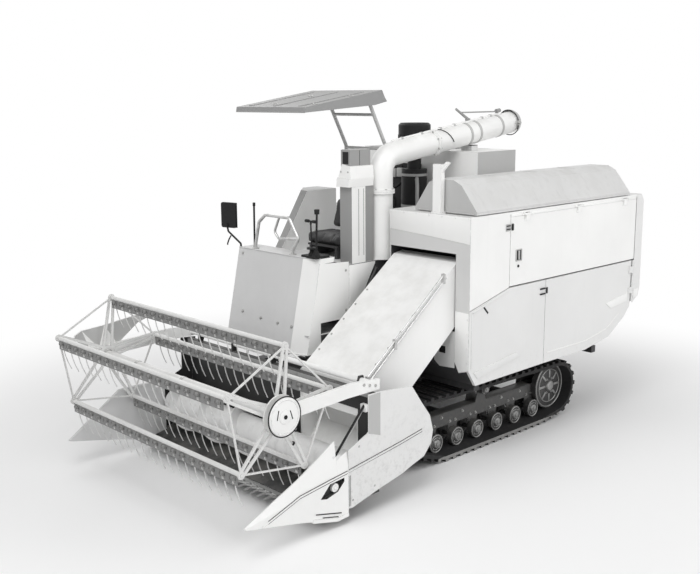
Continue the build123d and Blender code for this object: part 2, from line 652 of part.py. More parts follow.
def handrail():
    """Tube arch with its bent grip, and the marker pole, on top of the leaning front panel."""
    foot = DASH_TOP_Z + GAP
    arch = bent_tube([(-640, RAIL_Y, foot), (-640, RAIL_Y, foot + 30), (-590, RAIL_Y, 1862), (-505, RAIL_Y, 1928),
                      (-205, RAIL_Y, 1928), (-95, RAIL_Y, 1773), (-170, RAIL_Y, foot + 30), (-170, RAIL_Y, foot)], 13, 40)
    grip = bent_tube([(-330, RAIL_Y, 1922), (-430, RAIL_Y + 30, 1794), (-375, RAIL_Y + 30, 1742),
                      (-100, RAIL_Y, 1772)], 10, 30)
    pole = rod((-655, RAIL_Y, foot), (-650, RAIL_Y, 2008), 8)
    return group([arch.fuse(grip), pole])


def console():
    """Lever box at the left end of the front panel, with its three levers."""
    box = block(-30, 140, -795, -650, DASH_TOP_Z + GAP, DASH_TOP_Z + 20)
    levers = [rod((118, -770, DASH_TOP_Z + 18), (122, -762, 2000), 8),
              rod((122, -762, 1985), (122, -762, 2020), 17),
              rod((60, -760, DASH_TOP_Z + 18), (52, -764, 1905), 6),
              rod((10, -764, 1925), (98, -764, 1925), 7),
              rod((53, -764, 1900), (53, -764, 1926), 8),
              disc_z(60, -760, DASH_TOP_Z + 70, DASH_TOP_Z + 82, 42)]
    return joined([box] + levers)


def mirror():
    arm = bent_tube([(-800, -792, DASH_TOP_Z + GAP), (-800, -792, DASH_TOP_Z + 25), (-1010, -762, 1745),
                     (-1040, -752, 1790)], 8, 14)
    glass = fillet(Box(156, 22, 214).edges().filter_by(Axis.Y), 18)
    return arm + Pos(-1010, -750, 1883) * Rot(0, 0, 14) * glass


def leaning_back(front, rear, z0, z1):
    """An outline in (y, z) between two faces of the seat's back, leaning rearward as it rises."""
    lean = math.tan(math.radians(BACK_LEAN))
    y = SEAT_REAR
    return poly((y + front + (z0 - SEAT_TOP) * lean, z0), (y + rear + (z0 - SEAT_TOP) * lean, z0),
                (y + rear + (z1 - SEAT_TOP) * lean, z1), (y + front + (z1 - SEAT_TOP) * lean, z1))


def seat_frame():
    """Slide rails, pan and back plate."""
    x0, x1 = SEAT_RIGHT + 40, SEAT_LEFT - 40
    rails = [block(x, x + 30, SEAT_FRONT + 10, SEAT_REAR - 10, ENGINE_HOOD_TOP + GAP, SEAT_BASE - 12)
             for x in (x0 + 10, x1 - 40)]
    pan = block(x0, x1, SEAT_FRONT + 4, SEAT_REAR + 14, SEAT_BASE - 14, SEAT_BASE - GAP)
    back = along_x(leaning_back(4 + GAP, 14, SEAT_BASE - 14, BACK_TOP - 60), x0 + 50, x1 - 50)
    return joined(rails + [pan, back])


def seat_cushion():
    pad = block(SEAT_RIGHT, SEAT_LEFT, SEAT_FRONT, SEAT_REAR - 30, SEAT_BASE, SEAT_TOP)
    return fillet(pad.edges().filter_by(Axis.Z), 40)


def seat_back():
    pad = along_x(leaning_back(-52, 4, SEAT_TOP + 6, BACK_TOP), SEAT_RIGHT + 10, SEAT_LEFT - 10)
    return fillet(pad.edges().filter_by(Axis.Y), 40)


def canopy_z(y):
    """Height of the roof's top face at y."""
    return CANOPY_FRONT_Z + (CANOPY_REAR_Z - CANOPY_FRONT_Z) * (y - CANOPY_FRONT_Y) / (CANOPY_REAR_Y - CANOPY_FRONT_Y)


def canopy_roof():
    """Sheet roof with a lip all round that is deeper at the rear."""
    t = CANOPY_SHEET
    outline = poly((CANOPY_FRONT_Y, CANOPY_FRONT_Z - CANOPY_LIP_FRONT), (CANOPY_FRONT_Y + 8, CANOPY_FRONT_Z),
                   (CANOPY_REAR_Y - 30, canopy_z(CANOPY_REAR_Y - 30)), (CANOPY_REAR_Y, CANOPY_REAR_Z - 60),
                   (CANOPY_REAR_Y + 28, CANOPY_REAR_Z - CANOPY_LIP_REAR),
                   (CANOPY_REAR_Y - 110, CANOPY_REAR_Z - CANOPY_LIP_REAR - 28))
    hollow = poly((CANOPY_FRONT_Y - 20, CANOPY_FRONT_Z - 160), (CANOPY_FRONT_Y + t, CANOPY_FRONT_Z - 60),
                  (CANOPY_FRONT_Y + 8 + t, canopy_z(CANOPY_FRONT_Y + 8 + t) - t),
                  (CANOPY_REAR_Y - 30 - t, canopy_z(CANOPY_REAR_Y - 30 - t) - t),
                  (CANOPY_REAR_Y - t - 1, CANOPY_REAR_Z - 60), (CANOPY_REAR_Y + 26 - t, CANOPY_REAR_Z - 150))
    return along_x(outline, CANOPY_RIGHT, CANOPY_LEFT) - along_x(hollow, CANOPY_RIGHT + t, CANOPY_LEFT - t)


def post_y(z):
    """Where a canopy post's leaning part is at height z."""
    return POST_Y - (z - POST_BEND_Z) * math.tan(math.radians(POST_LEAN))


def canopy_frame():
    """Two posts that bend forward under the roof, with two rungs between them and one bar in front."""
    slope = math.atan2(CANOPY_REAR_Z - CANOPY_FRONT_Z, CANOPY_REAR_Y - CANOPY_FRONT_Y)
    under = (CANOPY_SHEET + GAP + POST_R) / math.cos(slope)
    knee = CANOPY_REAR_Z - 90
    knee_y = post_y(knee)
    for _ in range(8):
        knee = canopy_z(knee_y) - under
        knee_y = post_y(knee)
    front = CANOPY_FRONT_Y + 90
    posts = [bent_tube([(x, POST_Y, ENGINE_HOOD_TOP + GAP), (x, POST_Y, POST_BEND_Z), (x, knee_y, knee),
                        (x, front, canopy_z(front) - under)], POST_R, 60) for x in POST_X]
    low = rod((POST_X[0], POST_Y, POST_BEND_Z - 15), (POST_X[1], POST_Y, POST_BEND_Z - 15), 12)
    rung = CANOPY_REAR_Z - RUNG_DROP
    high = rod((POST_X[0], post_y(rung), rung), (POST_X[1], post_y(rung), rung), 12)
    bar_y = CANOPY_FRONT_Y + 180
    bar_z = canopy_z(bar_y) - under
    bar = rod((CANOPY_RIGHT + 60, bar_y, bar_z), (CANOPY_LEFT - 20, bar_y, bar_z), 12)
    return joined(posts + [low, high, bar])


CONSOLE_TOP = 2455.0


def side_console():
    """Control box beside the seat: ribbed column, slanted light box, and the box on top."""
    front, rear = -420.0, PIPE_Y - PIPE_R - 16 - 11
    low = ENGINE_HOOD_TOP + GAP
    top = CONSOLE_TOP
    column = block(16, PLATFORM_LEFT, front, rear - 96, low, top - 285)
    column += block(30, PLATFORM_LEFT - 8, rear - 97, rear, low, top - 285)
    tray = along_y(poly((10, top - 287), (PLATFORM_LEFT + 2, top - 287), (PLATFORM_LEFT + 8, top - 223),
                        (20, top - 215)), -455, rear - 10)
    light = along_y(poly((20, top - 217), (PLATFORM_LEFT + 8, top - 225), (PLATFORM_LEFT, top - 125),
                         (60, top - 110)), -440, rear - 10)
    crown = block(40, PLATFORM_LEFT - 10, -430, -205, top - 130, top)
    return joined([column, tray, light, crown])


# Grain unloader

def unloader_pipe():
    pipe = Pos(PIPE_X, PIPE_Y, (ENGINE_HOOD_TOP + GAP + COLLAR_Z) / 2) * Cylinder(PIPE_R, COLLAR_Z - ENGINE_HOOD_TOP - GAP)
    flange = Pos(PIPE_X, PIPE_Y, COLLAR_Z - 8) * Cylinder(PIPE_R + 16, 16)
    return pipe + flange


def tube_point(s, lift=0.0):
    """A point s along the tube from the pipe's axis, and `lift` square above its axis."""
    a = math.radians(TUBE_RISE)
    return (PIPE_X, PIPE_Y + s * math.cos(a) - lift * math.sin(a), TUBE_Z + s * math.sin(a) + lift * math.cos(a))


def unloader_tube():
    base = COLLAR_Z + 0.5
    path = FilletPolyline((PIPE_X, PIPE_Y, base), (PIPE_X, PIPE_Y, TUBE_Z), tube_point(SPOUT_AT + 30), radius=150)
    tube = sweep(Plane(origin=path @ 0, z_dir=path % 0) * Circle(PIPE_R), path=path)
    collar = disc_z(PIPE_X, PIPE_Y, base, base + 16, PIPE_R + 16)
    flanges = [rod(tube_point(s), tube_point(s + 14), PIPE_R + 14) for s in (FLANGE_AT, FLANGE_AT + 17)]
    ridge = rod(tube_point(140, PIPE_R + 6), tube_point(SPOUT_AT - 140, PIPE_R + 6), 9)
    centre = tube_point(SPOUT_AT)
    pins = [disc_x(centre[1], centre[2], 8, *sorted((PIPE_X + side * (PIPE_R - 4), PIPE_X + side * (HOOD_R + 4))))
            for side in (-1, 1)]
    return joined([tube, collar] + flanges + [ridge] + pins)


def spout():
    """Rounded hood over the tube's end, turning on two pins and open underneath."""
    centre = tube_point(SPOUT_AT)
    shell = Pos(*centre) * Sphere(HOOD_R) - Pos(*centre) * Sphere(HOOD_R - HOOD_T)
    behind = rod(tube_point(SPOUT_AT - 300), tube_point(SPOUT_AT + 8), 200)
    mouth = Pos(centre[0], centre[1] + 20, centre[2] - 120) * Cylinder(80, 160)
    shell = shell - behind - mouth
    inner = HOOD_R - HOOD_T - 1
    ears = [disc_x(centre[1], centre[2], 24, *sorted((PIPE_X + side * inner, PIPE_X + side * (HOOD_R + 1))))
            for side in (-1, 1)]
    return joined([shell] + ears) - disc_x(centre[1], centre[2], 8 + FIT, PIPE_X - 200, PIPE_X + 200)


def spout_linkage():
    """Lever on the tube, its pull rod, and the block at the hood that the rod ends in."""
    base = PIPE_R + 15 + GAP
    foot = rod(tube_point(1080, base + 8), tube_point(1135, base + 8), 8)
    lever = rod(tube_point(1108, base + 8), tube_point(963, 233), 10)
    strut = rod(tube_point(1125, base + 8), tube_point(1000, 210), 7)
    link = rod(tube_point(1010, 196), tube_point(SPOUT_AT - 150, base + 12), 6)
    stand = rod(tube_point(SPOUT_AT - 165, base + 18), tube_point(SPOUT_AT - 115, base + 18), 18)
    return joined([foot, lever, strut, link, stand])


def tube_rest():
    y = 1060.0
    s = (y - PIPE_Y) / math.cos(math.radians(TUBE_RISE))
    top = tube_point(s)[2] - PIPE_R - 11
    return block(PIPE_X - 60, PIPE_X + 60, y - 40, y + 40, TANK_TOP + GAP, top)


# Header

def feeder_house():
    outline = poly((BACK_Y + GAP, 843), (-70, 1622), (30, 1640), (120, 1600), (190, 1500), (200, 1390),
                   (150, 1300), (60, 1240), (-558, 755), (-780, 520), (BACK_Y + GAP, 200))
    shell = along_x(outline, FEEDER_RIGHT, FEEDER_LEFT)
    mouth = poly((BACK_Y - 5, 226), (-900, 440), (-900, 740), (BACK_Y - 5, 640))
    shell -= along_x(mouth, FEEDER_RIGHT + 30, FEEDER_LEFT - 30)
    pin = disc_x(LIFT_Y, LIFT_Z, 30, FEEDER_RIGHT - 14, FEEDER_LEFT + 36)
    y, z = RAM_EYE
    lugs = [along_x(poly((y - 110, z + 80), (y - 70, z + 30), (y - 30, z + 70), (y - 70, z + 120)), RAM_X - 30, RAM_X + 42)]
    for x in (RAM_X - 30, RAM_X + 20):
        lugs.append(flat_bar((y - 70, z + 70), RAM_EYE, 56, x, x + 10))
        lugs.append(disc_x(y, z, 28, x, x + 10))
    return joined([shell, pin] + lugs)


def feeder_rods():
    """Pair of rods and the lever along the feeder's upper left edge."""
    x = FEEDER_LEFT + 14
    y0, z0 = -230.0, 1560.0
    y1, z1 = -1050.0, 915.0
    pieces = [rod((x, y0, z0), (x, y1, z1), 7), rod((x, y0 + 20, z0 - 34), (x, y1 + 20, z1 - 34), 7)]
    pieces += [block(FEEDER_LEFT + GAP, x + 10, y - 12, y + 12, z - 60, z + 16)
               for y, z in ((-240, 1545), (-760, 1135), (-1040, 915))]
    return joined(pieces)


def header_frame():
    """Back sheet, floor, top beam and both side plates of the table."""
    t = 4.0
    half = PLATE_X
    back = block(-half, half, BACK_Y - t, BACK_Y, 150, HEADER_TOP)
    back -= block(FEEDER_RIGHT + 20, FEEDER_LEFT - 20, BACK_Y - 10, BACK_Y + 10, 230, 700)
    beam = block(-half, half, BACK_Y - 44, BACK_Y, HEADER_TOP - 40, HEADER_TOP)
    floor = along_x(poly((BACK_Y - t, 150), (TABLE_AUGER_Y, 146), (-1440, 128), (CUTTER_Y, CUTTER_Z + 8),
                         (CUTTER_Y, CUTTER_Z), (-1440, 120), (TABLE_AUGER_Y, 138), (BACK_Y, 142), (BACK_Y, 150)),
                    -half, half)
    floor -= both_sides(block(1078, half + 1, -1600, -1399, 0, 200))
    left = poly((-1400, 110), (-1371, 105), (-1138, 160), (-864, 216), (-791, 241), (-641, 284), (-566, 365),
                (-545, 460), (-580, 583), (-679, 712), (-775, 845), (-1098, 875), (-1209, 875), (-1209, 610),
                (-1225, 600), (-1400, 528))
    right = poly((-1400, 110), (-1371, 105), (-1138, 160), (-1060, 175), (-1060, 862), (-1209, 875), (-1209, 610),
                 (-1225, 600), (-1400, 528))
    plates = [along_x(left, PLATE_X, PLATE_X + PLATE_T), mirrored(along_x(right, PLATE_X, PLATE_X + PLATE_T))]
    pads = [along_x(poly((-1209, 600), (-1098, 562), (-1098, 868), (-1209, 868)), PLATE_X + PLATE_T - 1,
                    PLATE_X + PLATE_T + 3)]
    beads = ((BEAD[-1][0] + 6, BEAD[-1][1]), (-896, 450), (-665, 489))
    for start, end in zip(beads, beads[1:]):
        pads.append(flat_bar(start, end, 14, PLATE_X + PLATE_T - 1, PLATE_X + PLATE_T + 3))
    pads += [mirrored(pad) for pad in pads]
    lugs = []
    for x in (-960.0, -500.0, 0.0, 948.0):
        lug = along_x(poly((REEL_ARM_Y - 34, HEADER_TOP - 1), (REEL_ARM_Y + 12, HEADER_TOP - 1),
                           (REEL_ARM_Y + 34, REEL_ARM_Z), (REEL_ARM_Y + 20, REEL_ARM_Z + 36),
                           (REEL_ARM_Y - 20, REEL_ARM_Z + 36), (REEL_ARM_Y - 34, REEL_ARM_Z)), x, x + 12)
        lugs.append(lug)
    frame = joined([back, beam, floor] + plates + pads + lugs)
    frame -= disc_x(REEL_ARM_Y, REEL_ARM_Z, 22 + FIT, -1000, 1000)
    return frame - disc_x(TABLE_AUGER_Y, TABLE_AUGER_Z, 18 + FIT, -PLATE_X - 20, PLATE_X + 20)


BEAD = ((-2151.0, 214.0), (-1835.0, 322.0), (-1560.0, 358.0), (-1404.0, 376.0))
RIDGE_X = 1097.0
RIDGE_END_Y = -1500.0
LEFT_RIDGE = (432.0, 530.0, 612.0, 480.0, 520.0)
RIGHT_RIDGE = (562.0, 566.0, 562.0, 500.0, 520.0)
SKID_LOW = ((-1726.0, 118.0), (-1502.0, 62.0), (-1401.0, 70.0))


def divider(ridge):
    """Crop divider: upright outer face up to the bead, and above it a face leaning in to the ridge."""
    outer = PLATE_X + PLATE_T
    rise, crest, end, heel_front, heel_rear = ridge

    def section(y, low, bead, ridge_x, ridge_z):
        plane = Plane(origin=(0, y, 0), x_dir=(1, 0, 0), z_dir=(0, -1, 0))
        return plane * poly((ridge_x - 14, low), (outer, low), (outer, bead), (ridge_x, ridge_z),
                            (ridge_x - 14, ridge_z - 6))

    front = loft([section(TIP_Y, TIP_Z - 8, TIP_Z - 1, outer - 12, TIP_Z + 6),
                  section(BEAD[1][0], 142, BEAD[1][1], RIDGE_X + 8, rise),
                  section(-1640, 92, 350, RIDGE_X, crest)], ruled=True)
    back = loft([section(-1640, 92, 350, RIDGE_X, crest),
                 section(RIDGE_END_Y, 66, 366, RIDGE_X, end)], ruled=True)
    heel = loft([section(RIDGE_END_Y, 66, 366, RIDGE_X + 12, heel_front),
                 section(-1400 - GAP, 72, 376, RIDGE_X + 20, heel_rear)], ruled=True)
    wedge = front + back + heel
    pocket = poly((-1655, 250), (-1571, 334), (-1440, 345), (-1440, 318), (-1500, 262), (-1600, 238))
    wedge -= along_x(pocket, outer - 26, outer + 5)
    wedge += disc_x(-1516, 292, 30, outer - 27, outer - 8)
    wedge += disc_x(-1516, 292, 12, outer - 9, outer - 2)
    for (y0, z0), (y1, z1) in zip(BEAD, BEAD[1:]):
        wedge += flat_bar((y0, z0), (y1, z1), 12, outer - 4, outer + 3)
    for (y0, z0), (y1, z1) in zip(SKID_LOW, SKID_LOW[1:]):
        wedge += flat_bar((y0, z0), (y1, z1), 26, outer - 12, outer + 3)
    return wedge


def dividers():
    """The left divider, and the right one with its higher crest."""
    return group([divider(LEFT_RIDGE), mirrored(divider(RIGHT_RIDGE))])


def cutter_bar():
    """Guards and the bar that carries them, across the table's front."""
    bar = block(-1080, 1080, CUTTER_Y - 40, CUTTER_Y - GAP, CUTTER_Z - 8, CUTTER_Z + 4)
    count = int(2 * 1040 / GUARD_PITCH)
    guards = []
    for i in range(count + 1):
        x = (i - count / 2) * GUARD_PITCH
        tip = along_z(poly((x - 12, CUTTER_Y - 38), (x + 12, CUTTER_Y - 38), (x + 9, CUTTER_Y - 90),
                           (x, CUTTER_Y - 150), (x - 9, CUTTER_Y - 90)), CUTTER_Z - 8, CUTTER_Z + 4)
        guards.append(tip)
    return joined([bar] + guards)


def flight(x0, x1, turn_sign, start):
    """One helical flight: a radial blade swept along the drum while it turns."""
    blade = Pos((AUGER_DRUM_R + AUGER_FLIGHT_R) / 2 - 3, 0) * Rectangle(AUGER_FLIGHT_R - AUGER_DRUM_R + 6, 16)
    length = x1 - x0
    angle = turn_sign * 360 * length / AUGER_PITCH
    plane = Plane(origin=(x0, TABLE_AUGER_Y, TABLE_AUGER_Z), x_dir=(0, 1, 0), z_dir=(1, 0, 0))
    face = (plane * Rot(0, 0, start) * blade).face()
    return Solid.extrude_linear_with_rotation(face, plane.origin, Vector(length, 0, 0), angle)


def table_auger():
    y, z = TABLE_AUGER_Y, TABLE_AUGER_Z
    drum = disc_x(y, z, AUGER_DRUM_R, -AUGER_HALF, AUGER_HALF)
    shaft = disc_x(y, z, 18, -1134, 1134)
    flights = [flight(2 - AUGER_HALF, 230, 1, 0), flight(960, AUGER_HALF - 2, -1, 40)]
    fingers = []
    for i, x in enumerate((300.0, 420.0, 540.0, 660.0, 780.0, 900.0)):
        a = math.radians(70 * i)
        fingers.append(rod((x, y, z), (x, y + (AUGER_FLIGHT_R - 4) * math.cos(a), z + (AUGER_FLIGHT_R - 4) * math.sin(a)), 7))
    return joined([drum, shaft] + flights + fingers)


# Reel

def reel_point(angle, r=REEL_R):
    a = math.radians(angle)
    return REEL_Y + r * math.cos(a), REEL_Z + r * math.sin(a)


def flat_bar(p, q, width, x0, x1):
    """A flat bar between two (y, z) points, lying in the plane square to X."""
    dy, dz = q[0] - p[0], q[1] - p[1]
    span = math.hypot(dy, dz)
    ny, nz = -dz / span * width / 2, dy / span * width / 2
    return along_x(poly((p[0] + ny, p[1] + nz), (q[0] + ny, q[1] + nz), (q[0] - ny, q[1] - nz),
                        (p[0] - ny, p[1] - nz)), x0, x1)


def spider(x0, x1):
    pieces = [disc_x(REEL_Y, REEL_Z, 66, x0, x1)]
    for angle in BAT_ANGLES:
        tip = reel_point(angle)
        pieces.append(disc_x(*tip, 27, x0, x1))
        for spread in (-38.0, 38.0):
            pieces.append(flat_bar(reel_point(angle + spread, 60), reel_point(angle + spread * 0.05, REEL_R), 22, x0, x1))
    ring = joined(pieces)
    return ring


def reel_frame():
    """Both spiders on the shaft, the pentagon of thin ties, and the end covers."""
    pieces = []
    for side in (-1, 1):
        a, b = sorted((side * SPIDER_X, side * (SPIDER_X + 10)))
        pieces.append(spider(a, b))
        for i, angle in enumerate(BAT_ANGLES):
            nxt = BAT_ANGLES[(i + 1) % len(BAT_ANGLES)]
            pieces.append(flat_bar(reel_point(angle), reel_point(nxt), 12, a, b))
    pieces.append(disc_x(REEL_Y, REEL_Z, 28, -SPIDER_X - 1, SPIDER_X + 1))
    pieces.append(disc_x(REEL_Y, REEL_Z, 136, SPIDER_X + 12, SPIDER_X + 26))
    pieces.append(disc_x(REEL_Y, REEL_Z, 60, -SPIDER_X - 26, -SPIDER_X - 5))
    pieces.append(disc_x(REEL_Y, REEL_Z, 40, SPIDER_X + 5, SPIDER_X + 13))
    pieces.append(disc_x(REEL_Y, REEL_Z, 15, -1112, 1112))
    frame = joined(pieces)
    for angle in BAT_ANGLES:
        frame -= disc_x(*reel_point(angle), BAT_STUB_R + FIT, -1100, 1100)
    return frame


def tine_outline(y, z):
    """One spring tine in (y, z): straight at the bat, then curving back to its tip."""
    steps = 4
    outer, inner = [], []
    for i in range(steps + 1):
        share = i / steps
        drop = TINE_DROP * share
        sweep_ = TINE_SWEEP * share * share
        outer.append((y + sweep_ - TINE_T / 2, z - drop))
        inner.append((y + sweep_ + TINE_T / 2, z - drop))
    return poly(*outer, *reversed(inner))


def bat(angle):
    """A bat tube with its board and the row of tines hanging from it."""
    y, z = reel_point(angle)
    tube = disc_x(y, z, BAT_TUBE_R, -BAT_HALF, BAT_HALF)
    stub = disc_x(y, z, BAT_STUB_R, -SPIDER_X - 12, SPIDER_X + 12)
    board = block(-BAT_HALF + 10, BAT_HALF - 10, y - 12, y - 6, z - 78, z)
    pieces = [tube, stub, board]
    for i in range(TINE_COUNT):
        x = (i - (TINE_COUNT - 1) / 2) * TINE_PITCH
        pieces.append(disc_x(y - 9, z - 34, COIL_R, x - COIL_HALF, x + COIL_HALF))
        pieces.append(along_x(tine_outline(y - 4, z - 14), x - TINE_T / 2, x + TINE_T / 2))
    return joined(pieces)


def reel_arms():
    """Two side arms on one cross tube behind the table, and the drive guard on the right arm."""
    arm = along_x(poly((REEL_Y - 40, REEL_Z - 36), (REEL_Y - 40, REEL_Z + 40), (REEL_Y + 110, REEL_Z + 66),
                       (-1340, 982), (REEL_ARM_Y + 30, REEL_ARM_Z + 40), (REEL_ARM_Y + 30, REEL_ARM_Z - 36),
                       (-1380, 884), (REEL_Y + 150, REEL_Z - 26)), ARM_X, ARM_X + ARM_T)
    arm -= disc_x(REEL_Y, REEL_Z, 15 + FIT, ARM_X - 12, ARM_X + ARM_T + 8)
    cross = disc_x(REEL_ARM_Y, REEL_ARM_Z, 22, -ARM_X - 8, ARM_X + 8)
    guard = poly((REEL_Y - 248, 1030), (REEL_Y - 238, 1062), (REEL_Y - 180, 1092), (REEL_Y + 16, 1106),
                 (REEL_Y + 446, 1158), (REEL_Y + 488, 1128), (REEL_Y + 320, 1078), (REEL_Y + 130, 940),
                 (REEL_Y + 60, REEL_Z - 50), (REEL_Y - 60, REEL_Z - 50), (REEL_Y - 120, 930))
    guard = along_x(guard, -ARM_X - ARM_T - 16, -ARM_X - ARM_T + 1)
    shaft = disc_x(REEL_Y + 456, 1130, 16, -ARM_X - ARM_T - 2, -760)
    frame = joined([arm, mirrored(arm), cross, guard, shaft])
    return frame - disc_x(REEL_Y, REEL_Z, 15 + FIT, -ARM_X - ARM_T - 8, -ARM_X)


# Header lift ram, opened at its rod's eye

RAM_X = RAIL_X - RAIL_WIDTH / 2 - 45.0
RAM_BASE = (-120.0, 445.0)
RAM_EYE = (-822.0, 422.0)


def along_ram(share_mm):
    span = math.dist(RAM_BASE, RAM_EYE)
    u = ((RAM_EYE[0] - RAM_BASE[0]) / span, (RAM_EYE[1] - RAM_BASE[1]) / span)
    return (RAM_X, RAM_BASE[0] + u[0] * share_mm, RAM_BASE[1] + u[1] * share_mm)


def ram_barrel():
    barrel = rod(along_ram(80), along_ram(480), 34).fuse(rod(along_ram(20), along_ram(90), 15.9))
    eye = disc_x(*RAM_BASE, 34, RAM_X - 16, RAM_X + 16)
    body = joined([barrel, eye]) - disc_x(*RAM_BASE, 15 + FIT, RAM_X - 40, RAM_X + 40)
    return body - rod(along_ram(100), along_ram(490), 20 + FIT)


def ram_rod():
    span = math.dist(RAM_BASE, RAM_EYE)
    return joined([rod(along_ram(135), along_ram(span - 10), 20), disc_x(*RAM_EYE, 26, RAM_X - 14, RAM_X + 14)])


def ram_bracket():
    y, z = RAM_BASE
    cheeks = [along_x(poly((y - 50, z - 20), (y + 50, z - 20), (y + 60, RAIL_BOTTOM), (y - 60, RAIL_BOTTOM)), x, x + 10)
              for x in (RAM_X - 30, RAM_X + 20)]
    return joined(cheeks + [disc_x(y, z, 15, RAM_X - 30, RAM_X + 30)])


PARTS = {
    "chassis_frame": chassis_frame,
    "frame_legs": frame_legs,
    "gearbox": gearbox,
    "drive_sprockets": drive_sprockets,
    "road_rollers": road_rollers,
    "track_frames": track_frames,
    "tracks": tracks,
    "thresher_body": thresher_body,
    "front_panel": front_panel,
    "side_panels": side_panels,
    "upper_door": upper_door,
    "lower_door": lower_door,
    "drum_cover": drum_cover,
    "cradle_post": cradle_post,
    "straw_hood": straw_hood,
    "grain_tank": grain_tank,
    "tank_lid": tank_lid,
    "engine_block": engine_block,
    "engine_cover": engine_cover,
    "radiator_box": radiator_box,
    "air_cleaner": air_cleaner,
    "platform": platform,
    "step": step,
    "handrail": handrail,
    "console": console,
    "mirror": mirror,
    "seat_frame": seat_frame,
    "seat_cushion": seat_cushion,
    "seat_back": seat_back,
    "canopy_frame": canopy_frame,
    "canopy_roof": canopy_roof,
    "side_console": side_console,
    "unloader_pipe": unloader_pipe,
    "unloader_tube": unloader_tube,
    "spout": spout,
    "spout_linkage": spout_linkage,
    "tube_rest": tube_rest,
    "feeder_house": feeder_house,
    "feeder_rods": feeder_rods,
    "header_frame": header_frame,
    "dividers": dividers,
    "cutter_bar": cutter_bar,
    "table_auger": table_auger,
    "reel_arms": reel_arms,
    "reel_frame": reel_frame,
    "ram_barrel": ram_barrel,
    "ram_rod": ram_rod,
    "ram_bracket": ram_bracket,
}
for number, angle in enumerate(BAT_ANGLES, start=1):
    PARTS[f"reel_bat_{number}"] = lambda angle=angle: bat(angle)


def main():
    os.makedirs("parts", exist_ok=True)
    for name, make in PARTS.items():
        export_step(make(), f"parts/{name}.step")


if __name__ == "__main__":
    main()
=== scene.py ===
"""Small tracked rice combine, dressed for rendering.

Metres, in the frame of the part: X to the machine's left, Y to its rear, Z up.
"""
import math

import bmesh
import bpy
from bpy.props import FloatProperty, FloatVectorProperty, IntProperty, PointerProperty
from mathutils import Matrix, Vector


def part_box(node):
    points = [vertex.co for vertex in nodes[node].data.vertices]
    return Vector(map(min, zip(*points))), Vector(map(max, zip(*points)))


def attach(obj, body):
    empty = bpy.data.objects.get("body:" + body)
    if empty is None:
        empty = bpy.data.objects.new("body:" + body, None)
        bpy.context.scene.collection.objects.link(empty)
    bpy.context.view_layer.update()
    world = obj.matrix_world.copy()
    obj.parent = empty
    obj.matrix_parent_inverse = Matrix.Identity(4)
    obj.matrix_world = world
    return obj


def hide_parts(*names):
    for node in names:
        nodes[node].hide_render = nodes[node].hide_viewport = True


bl_info = {
    "name": "Rice Combine Dresser",
    "version": (1, 0, 0),
    "blender": (4, 5, 0),
    "location": "View3D > Sidebar > Combine",
    "description": "Builds the paint, padding, fasteners, springs and studio of a small tracked combine",
    "category": "Object",
}

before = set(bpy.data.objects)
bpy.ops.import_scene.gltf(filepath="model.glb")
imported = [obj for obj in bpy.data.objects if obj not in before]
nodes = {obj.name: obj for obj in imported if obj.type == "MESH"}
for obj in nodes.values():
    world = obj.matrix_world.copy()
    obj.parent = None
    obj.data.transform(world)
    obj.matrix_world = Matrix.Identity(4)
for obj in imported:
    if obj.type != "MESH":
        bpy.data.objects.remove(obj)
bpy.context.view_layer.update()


# Sizes and colours that a user may change

class CombinePaint(bpy.types.PropertyGroup):
    """Colours of the painted finishes, and the dust on them."""
    body: FloatVectorProperty(name="Body paint", description="Paint of the thresher's doors and feeder",
                              subtype="COLOR", size=3, min=0, max=1, default=(0.92, 0.92, 0.91))
    lower: FloatVectorProperty(name="Lower paint", description="Paint of the lower side panels",
                               subtype="COLOR", size=3, min=0, max=1, default=(0.80, 0.80, 0.795))
    cab: FloatVectorProperty(name="Platform paint", description="Paint of the operator's platform",
                             subtype="COLOR", size=3, min=0, max=1, default=(0.66, 0.66, 0.66))
    roof: FloatVectorProperty(name="Roof paint", description="Paint of the canopy's sheet",
                              subtype="COLOR", size=3, min=0, max=1, default=(0.27, 0.27, 0.27))
    chassis: FloatVectorProperty(name="Chassis paint", description="Paint of the chassis and track frames",
                                 subtype="COLOR", size=3, min=0, max=1, default=(0.045, 0.045, 0.047))
    dust: FloatProperty(name="Dust", description="How much dust lies on faces that look up",
                        subtype="FACTOR", min=0, max=1, default=0.25)


class CombineFittings(bpy.types.PropertyGroup):
    """Sizes of the repeated small pieces."""
    bolt_size: FloatProperty(name="Bolt size", description="Width of a small bolt head across its flats",
                             unit="LENGTH", min=0.004, max=0.05, default=0.017)
    coil_turns: IntProperty(name="Coil turns", description="Turns of the spring at each tine",
                            min=1, max=6, default=3)
    coil_wire: FloatProperty(name="Coil wire", description="Thickness of the tines' spring wire",
                             unit="LENGTH", min=0.002, max=0.01, default=0.006)


class CombineStudio(bpy.types.PropertyGroup):
    """Light and floor of the studio."""
    floor: FloatVectorProperty(name="Floor", description="Colour of the floor and backdrop",
                               subtype="COLOR", size=3, min=0, max=1, default=(0.93, 0.93, 0.93))
    key: FloatProperty(name="Key light", description="Power of the large soft lamp", unit="POWER",
                       min=0, max=5000, default=300)
    sky: FloatProperty(name="Sky light", description="Strength of the even light from all round",
                       min=0, max=3, default=0.50)


# Shader groups

def new_group(name, inputs, outputs):
    """An empty shader group with its sockets."""
    tree = bpy.data.node_groups.new(name, "ShaderNodeTree")
    for label, kind, value in inputs:
        socket = tree.interface.new_socket(label, in_out="INPUT", socket_type=kind)
        socket.default_value = value
    for label, kind in outputs:
        tree.interface.new_socket(label, in_out="OUTPUT", socket_type=kind)
    return tree, tree.nodes.new("NodeGroupInput"), tree.nodes.new("NodeGroupOutput")


